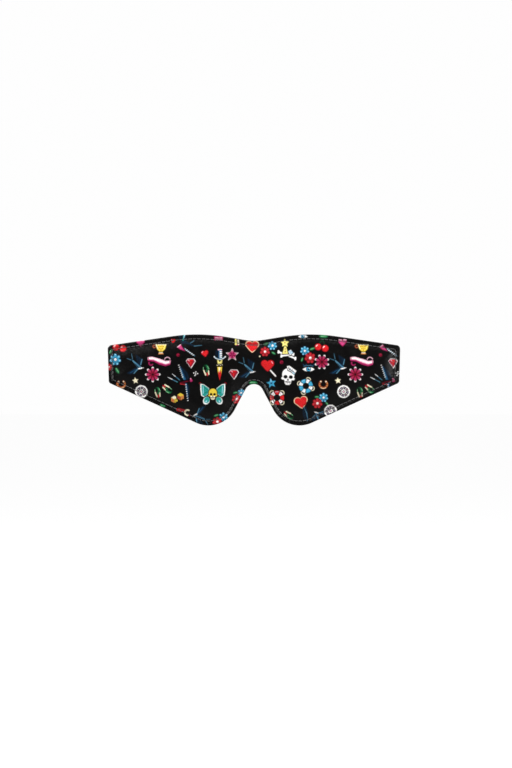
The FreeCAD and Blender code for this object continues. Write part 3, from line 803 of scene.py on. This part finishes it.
def flame(pen):
    pen.lines(
        (STRAW, -0.9, 2, -0.8, -2, 0.6, 0.8), (CREAM, 1, 1.4, 1.2, -2, 0.5, 0.7),
        (PLUM, -0.2, -2.8, 0.6, -2.6, 0.4))


def cross_marks(pen):
    for x, y in ((-1.9, 0.4), (0.2, 1.5), (1.9, -0.2), (0.1, -0.6), (-0.7, -2)):
        pen.disc(WHITE, x, y, 0.52)


def spark(pen):
    pen.disc(CREAM, 0, 0, 0.5)


# The cloth's design repeats every REPEAT millimetres across. Each entry is a motif and the x and z
# of its middle, then its size if that isn't 1 and its turn in degrees if it is turned.
REPEAT = 151.5
PRINT_SCALE = 0.993
REPEATED = [
    (great_swallow, -51.8, -13), (cherries, -103.5, 11.8), (horseshoe, -99.6, -16.1, 0.92),
    (swallow, -87.4, -1.8), (small_star, -88.7, -13.4, 1, 8), (wheel, -84.4, -21.6),
    (cup, -69.6, 11.1, 0.89), (ribbon_banner, -70.9, 1.4), (dahlia, -75.7, -8.8),
    (pink_heart, -85.1, 15.4), (dart, -54.2, 10.6), (tiny_rose, -56.8, 5.8), (gem, -47.3, -0.2),
    (cross_marks, -43.6, -8, 0.75), (rosebud, -72, -22.4, 0.82, 12),
    (rosebud, -65, -19.4, 0.86, -128),
]
SINGLE = [
    (blue_flower, -103.9, 2.4, 1.08), (leaf, -102.4, -5.8, 0.9, -60),
    (leaf, -107.6, 8.4, 0.7, 60), (red_flower, -109, -3.2, 0.6), (red_heart, -60.6, 16.6, 0.62),
    (diving_swallow, -53, 18.2), (red_heart, -36.7, 7, 0.92, 10), (gem, -15.1, -8.5, 1.03),
    (rosebud, -35.6, -5.9, 0.86, 14), (dagger, -25.6, -1, 0.98),
    (star_flower, -16.3, 5.9, 0.95), (butterfly, -30.8, -23.3), (dice, -59.6, -27.4),
    (leaf, -68.6, -32.4, 0.8, -20), (red_ribbon, -53, -36.8),
    (swallow, -41, -40.4, 0.95, 200), (leaf, -28.2, -39.4, 0.72, 20),
    (blue_flower, -22.9, -40.8, 0.86), (red_flower, -27.4, -44.4, 0.9),
    (leaf, -13.6, -22.4, 0.72, 10), (blue_flower, -9.4, -22.6, 0.72),
    (red_flower, -12.9, -27.2, 0.88), (ribbon_tag, -26.6, 18.4), (flame, -12.8, 15.9, 0.95),
    (swallow, -3.8, -4.6), (big_heart, -1.3, 12.6), (leaf, -0.6, -15.2, 1.1),
    (leaf, 9, 14.3, 0.75, 20), (leaf, 14.6, 7.2, 0.6, -30), (blue_flower, 13.8, 12.9, 0.84),
    (red_flower, 8.2, 8.3, 0.88), (spark, 4.3, 4.8), (lolly, 10.2, -2.4, 0.98),
    (tiny_rose, 20.6, 0.4, 1.1), (candle, 23.4, 8.9, 0.95), (capped_skull, 25.6, -10.1, 1.06, -4),
    (eye, 36.6, 19.8, 0.95), (eye, 40.8, -4.9, 1.2), (leaf, 43.6, 10.4, 0.75, 20),
    (leaf, 36, 2.4, 0.6, 70), (blue_flower, 38, 8.9, 0.84), (red_flower, 42, 3.6),
    (blue_star, 13, -15.3, 0.95), (blue_lifebuoy, 38.8, -17.4, 1, 24),
    (red_lifebuoy, 17.2, -26.2, 1.02), (big_heart, 35.2, -29.4, 1, 12),
    (rosebud, 25.8, -39.2, 0.84, -125), (feather, 38.6, -38.4, 1, 8),
    (swallow, 47.6, -40, 0.8, 150), (dahlia, 50.8, 0.6, 0.98, 22), (leaf, 52.1, 20, 1.15),
    (leaf, 47.4, -25.6, 0.72), (leaf, 54.6, -30.6, 0.6, -50), (blue_flower, 52, -26.1, 0.86),
    (red_flower, 47.4, -30.4, 0.92), (wheel, 57.4, -36.2, 1, 15),
]


def print_colours(points):
    """The printed colour of each point of the leather, in linear light."""
    shade = 1 + 0.12 * soft_noise(points[:, 0], points[:, 1], 5.0, 3)
    colours = GROUND * shade[:, None]
    copies = [(motif, x + shift, *rest) for motif, x, *rest in REPEATED for shift in (0.0, REPEAT)]
    for motif, x, z, *look in copies + SINGLE:
        motif(Pen(points, colours, x * PRINT_SCALE, z * PRINT_SCALE, *look))
    return colours


# ================================================================ materials

# The webbing's weave: cords side by side across it, and the threads over them along it.
RIB_PITCH = 0.72
WEFT_PITCH = 0.9


def material(name, **sockets):
    """A new material with its shader's constant sockets set, and its node tree."""
    made = bpy.data.materials.new(name)
    made.use_nodes = True
    shader = made.node_tree.nodes["Principled BSDF"]
    for socket, value in sockets.items():
        shader.inputs[socket.replace("_", " ")].default_value = value
    return made, made.node_tree


def node(tree, kind, **settings):
    made = tree.nodes.new(kind)
    for name, value in settings.items():
        if name in made.inputs:
            made.inputs[name].default_value = value
        else:
            setattr(made, name, value)
    return made


def math_node(tree, operation, *values):
    """A Math node fed with sockets or numbers; gives its output socket."""
    made = node(tree, "ShaderNodeMath", operation=operation)
    for socket, value in zip(made.inputs, values):
        if hasattr(value, "links"):
            tree.links.new(value, socket)
        else:
            socket.default_value = value
    return made.outputs[0]


def texture(tree, kind, size_mm, output, **settings):
    """A texture over the piece's own coordinates, with features of about the given size."""
    made = node(tree, kind, Scale=1 / (size_mm * MM), **settings)
    tree.links.new(node(tree, "ShaderNodeTexCoord").outputs["Object"], made.inputs["Vector"])
    return made.outputs[output]


def noise(tree, size_mm, detail=3.0):
    return texture(tree, "ShaderNodeTexNoise", size_mm, "Fac", Detail=detail)


def cells(tree, size_mm):
    return texture(tree, "ShaderNodeTexVoronoi", size_mm, "Distance", feature="DISTANCE_TO_EDGE")


def stored(tree, name, output="Fac"):
    """A value that the mesh holds for each point."""
    return node(tree, "ShaderNodeAttribute", attribute_name=name).outputs[output]


def tone(tree, value, dark, light, low=0.0, high=1.0):
    """A colour from dark to light as the value goes from low to high."""
    ramp = node(tree, "ShaderNodeValToRGB")
    for element, place, colour in zip(ramp.color_ramp.elements, (low, high), (dark, light)):
        element.position = place
        element.color = (*colour, 1)
    tree.links.new(value, ramp.inputs["Fac"])
    return ramp.outputs["Color"]


def dressed(made, colour, roughness, height, depth_mm):
    """The material with its colour, roughness and bump fed to its shader."""
    tree = made.node_tree
    relief = node(tree, "ShaderNodeBump", Distance=depth_mm * MM)
    tree.links.new(height, relief.inputs["Height"])
    shader = tree.nodes["Principled BSDF"]
    for value, socket in ((colour, "Base Color"), (roughness, "Roughness"),
                          (relief.outputs["Normal"], "Normal")):
        tree.links.new(value, shader.inputs[socket])
    return made


def ranged(tree, value, low, high):
    """A 0 to 1 value spread between low and high."""
    return math_node(tree, "MULTIPLY_ADD", value, high - low, low)


def leather_height(tree, grain_mm):
    """Pebbled grain: rounded cells with fine creases between them."""
    creases = math_node(tree, "MINIMUM", cells(tree, grain_mm), 0.16)
    pebbles = math_node(tree, "MULTIPLY", creases, 4.5)
    fine = math_node(tree, "MULTIPLY", noise(tree, 0.28, 2.0), 0.18)
    return math_node(tree, "ADD", pebbles, fine)


def printed_leather():
    made, tree = material("printed_leather", IOR=1.45, Specular_IOR_Level=0.21)
    height = leather_height(tree, 0.85)
    # Painted shade: the print is darkened in the grain's creases and a little lightened on its
    # pebbles, following the bump height.
    crease_shade = node(tree, "ShaderNodeMix", data_type="RGBA", blend_type="MULTIPLY")
    crease_shade.inputs["Factor"].default_value = 1.0
    tree.links.new(stored(tree, "print", "Color"), crease_shade.inputs["A"])
    tree.links.new(tone(tree, height, [0.62] * 3, [1.04] * 3, 0.1, 0.6), crease_shade.inputs["B"])
    uneven = ranged(tree, noise(tree, 6.0), 0.27, 0.39)
    gloss = math_node(tree, "MULTIPLY", stored(tree, "rim"), 0.03)
    roughness = math_node(tree, "SUBTRACT", uneven, gloss)
    return dressed(made, crease_shade.outputs["Result"], roughness, height, 0.036)


def lining_leather():
    made, tree = material("lining_leather", IOR=1.45, Specular_IOR_Level=0.4)
    colour = tone(tree, noise(tree, 9.0, 4.0), (0.004, 0.004, 0.0045), (0.011, 0.0105, 0.011))
    roughness = ranged(tree, noise(tree, 4.0), 0.40, 0.56)
    return dressed(made, colour, roughness, leather_height(tree, 0.75), 0.05)


def elastic_webbing():
    made, tree = material("elastic_webbing", IOR=1.5, Sheen_Weight=0.10, Sheen_Roughness=0.5,
                          Specular_IOR_Level=0.35)
    rib, cord = (
        math_node(tree, "SINE", math_node(tree, "MULTIPLY", stored(tree, way), TURN / pitch))
        for way, pitch in (("along", WEFT_PITCH), ("across", RIB_PITCH)))
    weave = math_node(tree, "MULTIPLY", rib, cord)
    height = math_node(tree, "ADD", math_node(tree, "MULTIPLY_ADD", rib, 0.30, 0.5),
                       math_node(tree, "MULTIPLY", weave, 0.22))
    # Painted shade: the colour follows the weave's height, darker in its hollows and lighter on
    # its raised cords and threads.
    colour = tone(tree, height, (0.003, 0.003, 0.0033), (0.017, 0.017, 0.019))
    return dressed(made, colour, ranged(tree, noise(tree, 1.5), 0.62, 0.8), height, 0.12)


def waxed_thread():
    made, tree = material("waxed_thread", IOR=1.5, Sheen_Weight=0.2)
    fibres = noise(tree, 0.12, 2.0)
    colour = tone(tree, fibres, (0.035, 0.035, 0.036), (0.14, 0.137, 0.14))
    return dressed(made, colour, ranged(tree, fibres, 0.30, 0.46), fibres, 0.02)


def nickel():
    made, tree = material("nickel", Metallic=1.0, IOR=1.5)
    colour = tone(tree, noise(tree, 2.5, 5.0), (0.62, 0.61, 0.59), (0.80, 0.79, 0.77))
    roughness = ranged(tree, noise(tree, 0.8, 4.0), 0.14, 0.30)
    return dressed(made, colour, roughness, noise(tree, 0.35, 3.0), 0.004)


PRINTED = printed_leather()
LINING = lining_leather()
ELASTIC = elastic_webbing()
THREAD = waxed_thread()
NICKEL = nickel()


# ================================================================ thread

def stitches(name, body, stands_for, starts, ends, normal, radius, lift, sink, rings=7, sides=6):
    """Separate twisted stitches, each arched over the surface with both ends sunk into it."""
    plies, twists = 3, 1.6
    starts, ends, normal = (np.asarray(value, float) for value in (starts, ends, normal))
    share = np.linspace(0, 1, rings)
    arch = lift * (1 - np.abs(2 * share - 1) ** 3.5) - sink * np.abs(2 * share - 1) ** 6
    spine = (starts[:, None] + (ends - starts)[:, None] * share[None, :, None]
             + normal * arch[None, :, None])
    tangent = np.gradient(spine, axis=1)
    tangent /= np.linalg.norm(tangent, axis=2)[:, :, None]
    side = np.cross(tangent, normal)
    side /= np.linalg.norm(side, axis=2)[:, :, None]
    up = np.cross(side, tangent)
    angle = np.arange(sides) * TURN / sides
    twist = share[:, None] * TURN * twists
    swell = radius * (1 + 0.14 * np.cos(plies * (angle[None] - twist)))
    tip = np.clip(4.5 * np.minimum(share, 1 - share) + 0.55, 0, 1)
    swell = swell * tip[:, None]
    vertices = (spine[:, :, None]
                + side[:, :, None] * (swell * np.cos(angle))[None, :, :, None]
                + up[:, :, None] * (swell * np.sin(angle))[None, :, :, None])
    faces = []
    for base in range(0, len(starts) * rings * sides, rings * sides):
        faces += tube_faces(rings, sides, base)
    piece = new_piece(name, vertices.reshape(-1, 3), faces)
    finish_piece(piece, THREAD, body, "thread", stands_for)


def along_loop(loop, pitch, length):
    """Starts and ends of evenly spaced stitches round a closed loop."""
    closed = np.concatenate([loop, loop[:1]])
    travel = travelled(closed)
    count = round(travel[-1] / pitch)
    begin = np.arange(count) * travel[-1] / count
    return [np.stack([np.interp(distance, travel, closed[:, k]) for k in (0, 1)], 1)
            for distance in (begin, begin + length)]


# ================================================================ the mask

SEAM = 3.3
STITCH_PITCH = 3.3
STITCH_LENGTH = 2.75
SEAM_THREAD = 0.27
FRONT_GROOVE = -1.75
BACK_GROOVE = -0.25

# The padded front: how far the foam lifts it, how quickly it rises, its puckers beside the seam
# and its two sizes of unevenness.
PUFF = 4.0
PUFF_REACH = 4.6
PUCKER = 0.17
PUCKER_INSET = 4.6
WRINKLE = 0.10
SWELL = 0.16

# The turned edge in section, from under the lining round to the seam: (inset, y).
TURNED_EDGE = [(2.9, -0.72), (2.0, -0.60), (1.35, -0.36), (0.85, -0.16), (0.45, -0.22),
               (0.18, -0.50), (0.03, -0.95), (0.0, -1.35), (0.06, -1.75), (0.28, -2.15),
               (0.65, -2.45), (1.1, -2.60), (1.6, -2.58), (2.1, -2.40), (2.5, -2.14),
               (2.85, -1.90), (3.1, -1.78), (3.35, -1.75), (3.6, -1.82)]
RISE_FROM = TURNED_EDGE[-1][0]
WRAPPED = 2.6
RIM_RIPPLE = 0.09
RIM_UNEVEN = 0.06
UNEVEN_PLACES = 90
# Closer loops continue it inwards, and a grid of points fills the rest.
FRONT_INSETS = [3.95, 4.3, 4.65, 5.0, 5.4, 5.8]
FRONT_SPACING = 0.385


def stitch_pull(travel):
    """Ripples in step with the stitches, from -1 to 1; some stitches pull more than others."""
    count = round(EDGE_TRAVEL[-1] / STITCH_PITCH) + 2
    tension = np.random.default_rng(31).uniform(0.1, 1.0, count)
    pull = np.interp(travel / STITCH_PITCH, np.arange(count), tension)
    return pull * np.cos(travel * TURN / STITCH_PITCH)


def front_depth(distance, travel, x, z):
    """How far the padded front stands towards the viewer, as a negative y."""
    rise = 1 - np.exp(-np.maximum(distance - RISE_FROM, 0) / PUFF_REACH)
    pucker = PUCKER * stitch_pull(travel) * np.exp(-((distance - PUCKER_INSET) / 1.4) ** 2)
    wrinkle = WRINKLE * soft_noise(x, z, 9.0, 11) * np.clip((distance - 4) / 6, 0, 1)
    swell = SWELL * soft_noise(x, z, 34.0, 12) * np.clip((distance - 4) / 10, 0, 1)
    return TURNED_EDGE[-1][1] - PUFF * rise + pucker + wrinkle + swell


def print_places(vertices):
    """Where each point lies on the flat printed hide, whose rim wraps round the turned edge."""
    places = vertices[:, [0, 2]].copy()
    count = len(EDGE)
    beyond = travelled(TURNED_EDGE[::-1])[::-1]
    for k, run in enumerate(beyond):
        places[k * count:(k + 1) * count] = edge_loop(TURNED_EDGE[-1][0] - run)
    return places


def mask_front():
    """Leather front with its turned edge, its seam pulled in and its middle padded."""
    loops = [edge_loop(inset) for inset, _ in TURNED_EDGE]
    depths = []
    for inset, y in TURNED_EDGE:
        ripple = RIM_RIPPLE * stitch_pull(EDGE_TRAVEL) * (0.6 < inset < 3.0 and y < -1.2)
        places = np.linspace(0, EDGE_TRAVEL[-1], UNEVEN_PLACES)
        uneven = RIM_UNEVEN * np.interp(EDGE_TRAVEL, places, rng.normal(0, 1, UNEVEN_PLACES))
        depths.append(y + ripple + uneven * (inset < WRAPPED and y < -0.5))
    for inset in FRONT_INSETS:
        loops.append(edge_loop(inset))
        depths.append(front_depth(np.full(len(EDGE), inset), EDGE_TRAVEL, *loops[-1].T))
    grid, distance, travel = inner_points(FRONT_SPACING, FRONT_INSETS[-1] + 0.3)
    piece, vertices = panel("mask_front", loops, depths, grid,
                            front_depth(distance, travel, *grid.T))

    colours = piece.data.attributes.new("print", "FLOAT_COLOR", "POINT")
    rgba = np.ones((len(vertices), 4), np.float32)
    rgba[:, :3] = print_colours(print_places(vertices))
    colours.data.foreach_set("color", rgba.ravel())
    rim = np.zeros(len(vertices))
    for k, (inset, _) in enumerate(TURNED_EDGE):
        rim[k * len(EDGE):(k + 1) * len(EDGE)] = 1.0 if inset < WRAPPED else 0.4
    point_value(piece, "rim", rim)
    finish_piece(piece, PRINTED, "mask", "printed_leather", "front_leather", "foam_pad")


# The straps come out of slits in the lining at STRAP_X, and their sewn tails reach in to
# TAIL_INNER.
STRAP_X = 95.0
HALF_WIDTH = 5.0
TAIL_INNER = 75.5
STRAP_Z = {"upper": 4.3, "lower": -9.1}
TAIL_SHOWS = 0.13
SLIT_DEPTH = 0.5

# The lining's cut edge and back seam in section: (inset, y).
LINING_EDGE = [(2.6, -0.62), (1.5, -0.60), (1.2, -0.50), (1.12, -0.30), (1.2, -0.10),
               (1.45, -0.01), (1.9, 0.0), (2.4, -0.03), (2.8, -0.12), (3.1, -0.22),
               (3.35, -0.25), (3.6, -0.21), (3.9, -0.12), (4.3, -0.03)]
LINING_SPACING = 0.7


def smooth_step(value):
    value = np.clip(value, 0, 1)
    return value * value * (3 - 2 * value)


def lining_height(distance, travel, x, z):
    """The lining's back surface: flat, with shallow puckers, strap ends showing and slits."""
    y = 0.02 * smooth_step((distance - 4.3) / 3)
    y = y - 0.05 * np.cos(travel * TURN / STITCH_PITCH) * np.exp(-((distance - 4.6) / 1.2) ** 2)
    y = y + 0.035 * soft_noise(x, z, 12.0, 21) * np.clip((distance - 4) / 6, 0, 1)
    x = np.abs(x)
    for middle in STRAP_Z.values():
        off = np.abs(z - middle)
        tail = (smooth_step((HALF_WIDTH + 0.9 - off) / 1.2) * smooth_step((x - TAIL_INNER) / 2.0)
                * smooth_step((STRAP_X - 0.6 - x) / 1.0))
        slit = np.exp(-((x - STRAP_X) / 0.75) ** 4) * smooth_step((HALF_WIDTH + 0.5 - off) / 0.5)
        y = y + TAIL_SHOWS * tail - SLIT_DEPTH * slit
    return y


def mask_lining():
    """Thin leather panel sewn over the back, its cut edge just inside the turned one."""
    loops = [edge_loop(inset) for inset, _ in LINING_EDGE]
    pucker = 0.035 * np.cos(EDGE_TRAVEL * TURN / STITCH_PITCH)
    depths = [y - pucker * (inset > 2.2 and y > -0.3) for inset, y in LINING_EDGE]
    grid, distance, travel = inner_points(LINING_SPACING, LINING_EDGE[-1][0] + 0.45)
    piece, _ = panel("mask_lining", loops, depths, grid, lining_height(distance, travel, *grid.T))
    piece.data.flip_normals()
    finish_piece(piece, LINING, "mask", "lining", "back_lining")


def edge_seams():
    """The rows of stitches near the edge, on the front and on the lining."""
    for way, side, level in (("front", -1, FRONT_GROOVE), ("back", 1, BACK_GROOVE)):
        starts, ends = ([(x, level, z) for x, z in places]
                        for places in along_loop(edge_loop(SEAM), STITCH_PITCH, STITCH_LENGTH))
        stitches(f"{way}_seam_stitches", "mask", f"{way}_seam_thread", starts, ends,
                 (0, side, 0), SEAM_THREAD, lift=0.20, sink=0.42, rings=11, sides=8)


mask_front()
mask_lining()
edge_seams()


# ================================================================ straps

# Half a strap's thickness, the round of its edges and how high the cords stand on its faces.
HALF_THICK = 0.5
BAND_ROUND = 0.4
CORD_HEIGHT = 0.045
STRAP_STEP = 0.45
LEAN = math.radians(4.0)

# A strap's inner and outer faces (x) where it is folded double, and how much its folds are
# tightened.
INNER_X = 94.5
FOLD_OUTER_X = 97.6
SLACK = 0.02

FINE_THREAD = 0.17
TACK_THREAD = 0.19
TACK_X = (89.0, 90.5)


def strap_section():
    """The webbing's section: (across, out) pairs round a thin strip with corded faces."""
    face = HALF_THICK - 0.05
    across = np.arange(0.45 - HALF_WIDTH, HALF_WIDTH - 0.44, 0.18)
    cords = CORD_HEIGHT * np.cos(across * TURN / RIB_PITCH)
    tip = np.radians(np.arange(60, -61, -30))
    edge = np.stack([HALF_WIDTH - BAND_ROUND + BAND_ROUND * np.cos(tip),
                     (HALF_THICK - 0.06) * np.sin(tip)], 1)
    front = np.stack([across, face + cords], 1)
    return np.concatenate([front, edge, front[::-1] * [1, -1], edge[::-1] * [-1, 1]])


def webbing(row, kind, side, corners, tail, lean=None):
    """A strap of the given row along corners for the +X side, seen from above: (x, y, radius).

    It stands on edge about the row's height, and leans as lean gives, when that is given.
    """
    path, _ = rounded_chain([(side * x, y, r) for x, y, r in corners], False, STRAP_STEP)
    middle = STRAP_Z[row]
    ahead = np.gradient(path, axis=0)
    along = travelled(path)
    ahead /= np.hypot(ahead[:, 0], ahead[:, 1])[:, None]
    out = np.stack([ahead[:, 1], -ahead[:, 0]], 1)
    section = strap_section()
    angle = lean(along / along[-1])[:, None] if lean else np.zeros((len(path), 1))
    across, thick = section.T[:, None]
    sideways = thick * np.cos(angle) - across * np.sin(angle)
    height = across * np.cos(angle) + thick * np.sin(angle)
    vertices = np.stack([path[:, :1] + out[:, :1] * sideways,
                         path[:, 1:] + out[:, 1:] * sideways, middle + height], 2)
    piece = new_piece(f"{row}_strap_{kind}", vertices.reshape(-1, 3),
                      tube_faces(len(path), len(section)))
    point_value(piece, "along", np.repeat(along, len(section)))
    point_value(piece, "across", np.tile(section[:, 0], len(path)))
    piece.data.materials.append(ELASTIC)
    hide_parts(f"{row}_{kind}", f"{row}_{tail}_tail")
    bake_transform(piece)


def bend_lean(share):
    """How the strap leans as it goes round the head: none near either end."""
    window = smooth_step((share - 0.16) / 0.12) * smooth_step((0.80 - share) / 0.12)
    return LEAN * window * np.sin(share * TURN * 1.3 + 0.6)


def strap_stitches(row, side, kind, ys, half, count, gap):
    """Rows of count stitches across the outside of a folded strap end, at the distances ys."""
    edges = STRAP_Z[row] + np.linspace(-half, half, count + 1)
    starts, ends = ([(side * FOLD_OUTER_X, y, z) for y in ys for z in zs]
                    for zs in (edges[:-1] + gap, edges[1:] - gap))
    stitches(f"{row}_{kind}_stitches", f"{row}_strap", f"{row}_{kind}_stitch", starts, ends,
             (side, 0, 0), FINE_THREAD, lift=0.08, sink=0.3)


def bar_tack(row, hand, side):
    """A dense row of stitches through a strap's tail and the lining; every second is longer."""
    starts, ends = [], []
    for k, z in enumerate(STRAP_Z[row] + np.linspace(-4.0, 4.0, 23)):
        extra = 0.12 * (k % 2)
        starts.append((side * (TACK_X[0] - extra), 0.16, z))
        ends.append((side * (TACK_X[1] + extra), 0.16, z + 0.12))
    stitches(f"{row}_{hand}_bar_tack", "mask", f"{row}_{hand}_tack", starts, ends,
             (0, 1, 0), TACK_THREAD, lift=0.04, sink=0.4)


def build_strap(row, side):
    """One strap, folded through its ring on the +X side, or mirrored with side -1."""
    plain, ringed = ("left", "right") if side > 0 else ("right", "left")
    inner, outer = INNER_X + HALF_THICK, FOLD_OUTER_X - HALF_THICK
    fold = (outer - inner) / 2 - SLACK
    webbing(row, "band", side, [(-inner, -1.2, 0), (-inner, 63.7, 34.5), (0.0, 118.6, 150.5),
                                (inner, 63.7, 34.5), (inner, 11.15, fold), (outer, 11.15, fold),
                                (outer, 43.5, 0)], plain, bend_lean)
    webbing(row, "tab", side, [(inner, -1.2, 0), (inner, 8.25, fold), (outer, 8.25, fold),
                               (outer, 2.3, 0)], ringed)
    strap_stitches(row, side, "tab", (3.0, 4.6), 3.4, 8, 0.06)
    strap_stitches(row, side, "hem", (40.9, 42.0), 4.4, 9, 0.08)
    bar_tack(row, "left", -1)
    bar_tack(row, "right", 1)
    for kind in ("ring", "slider"):
        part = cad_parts[f"{row}_{kind}"]
        part.data.materials.clear()
        part.data.materials.append(NICKEL)


build_strap("upper", 1)
build_strap("lower", -1)


# ================================================================ stage, light and camera

FLOOR_Z = -0.30
FLOOR_GLOW = 0.96
AMBIENT = 0.05
BACKDROP = 0.99

# Area lights that face the mask: (name, place, (width, height), power).
LIGHTS = [
    ("key", (-1.15, -0.95, 0.95), (0.6, 0.6), 29), ("fill", (1.25, -0.90, 0.45), (0.7, 0.7), 22),
    ("top", (0.0, 0.15, 1.1), (1.2, 0.8), 10), ("back_left", (-0.9, 1.2, 0.7), (0.7, 0.6), 14),
    ("back_right", (1.1, 1.0, 0.4), (0.6, 0.6), 10),
]
CAMERA_PLACE = (0.0015, -1.590, -0.0158)


def stage():
    """A grey floor that looks nearly white by a strong glow, which only the camera sees.

    Without the glow its far part would be darker than the rest. It lights nothing.
    """
    bpy.ops.mesh.primitive_plane_add(size=60, location=(0, 0, FLOOR_Z))
    floor = bpy.context.object
    floor.name = "floor"
    made, tree = material("floor", Roughness=0.95, Specular_IOR_Level=0.1,
                          Base_Color=(0.30, 0.30, 0.30, 1), Emission_Color=(1, 1, 1, 1))
    seen = node(tree, "ShaderNodeLightPath").outputs["Is Camera Ray"]
    glow = math_node(tree, "MULTIPLY", seen, FLOOR_GLOW)
    tree.links.new(glow, tree.nodes["Principled BSDF"].inputs["Emission Strength"])
    floor.data.materials.append(made)


def area_light(name, place, size, power):
    light = bpy.data.lights.new(name, "AREA")
    light.shape = "RECTANGLE"
    light.size, light.size_y = size
    light.energy = power
    lamp = bpy.data.objects.new(name, light)
    lamp.location = place
    lamp.rotation_euler = (-Vector(place)).to_track_quat("-Z", "Y").to_euler()
    bpy.context.scene.collection.objects.link(lamp)


def lights():
    """The lamps, and a world that lights dimly but looks nearly white to the camera."""
    for row in LIGHTS:
        area_light(*row)
    world = bpy.data.worlds.new("studio")
    bpy.context.scene.world = world
    world.use_nodes = True
    tree = world.node_tree
    background = tree.nodes["Background"]
    background.inputs["Color"].default_value = (1, 1, 1, 1)
    seen = node(tree, "ShaderNodeLightPath").outputs["Is Camera Ray"]
    strength = math_node(tree, "MULTIPLY_ADD", seen, BACKDROP - AMBIENT, AMBIENT)
    tree.links.new(strength, background.inputs["Strength"])


def camera():
    """Straight on, at nose height, with a long lens."""
    data = bpy.data.cameras.new("camera")
    data.lens = 100
    data.sensor_width = 36
    data.clip_end = 20
    view = bpy.data.objects.new("camera", data)
    view.location = CAMERA_PLACE
    view.rotation_euler = (math.radians(90), 0, 0)
    bpy.context.scene.collection.objects.link(view)
    bpy.context.scene.camera = view


stage()
lights()
camera()
bpy.context.scene.view_settings.view_transform = "Standard"
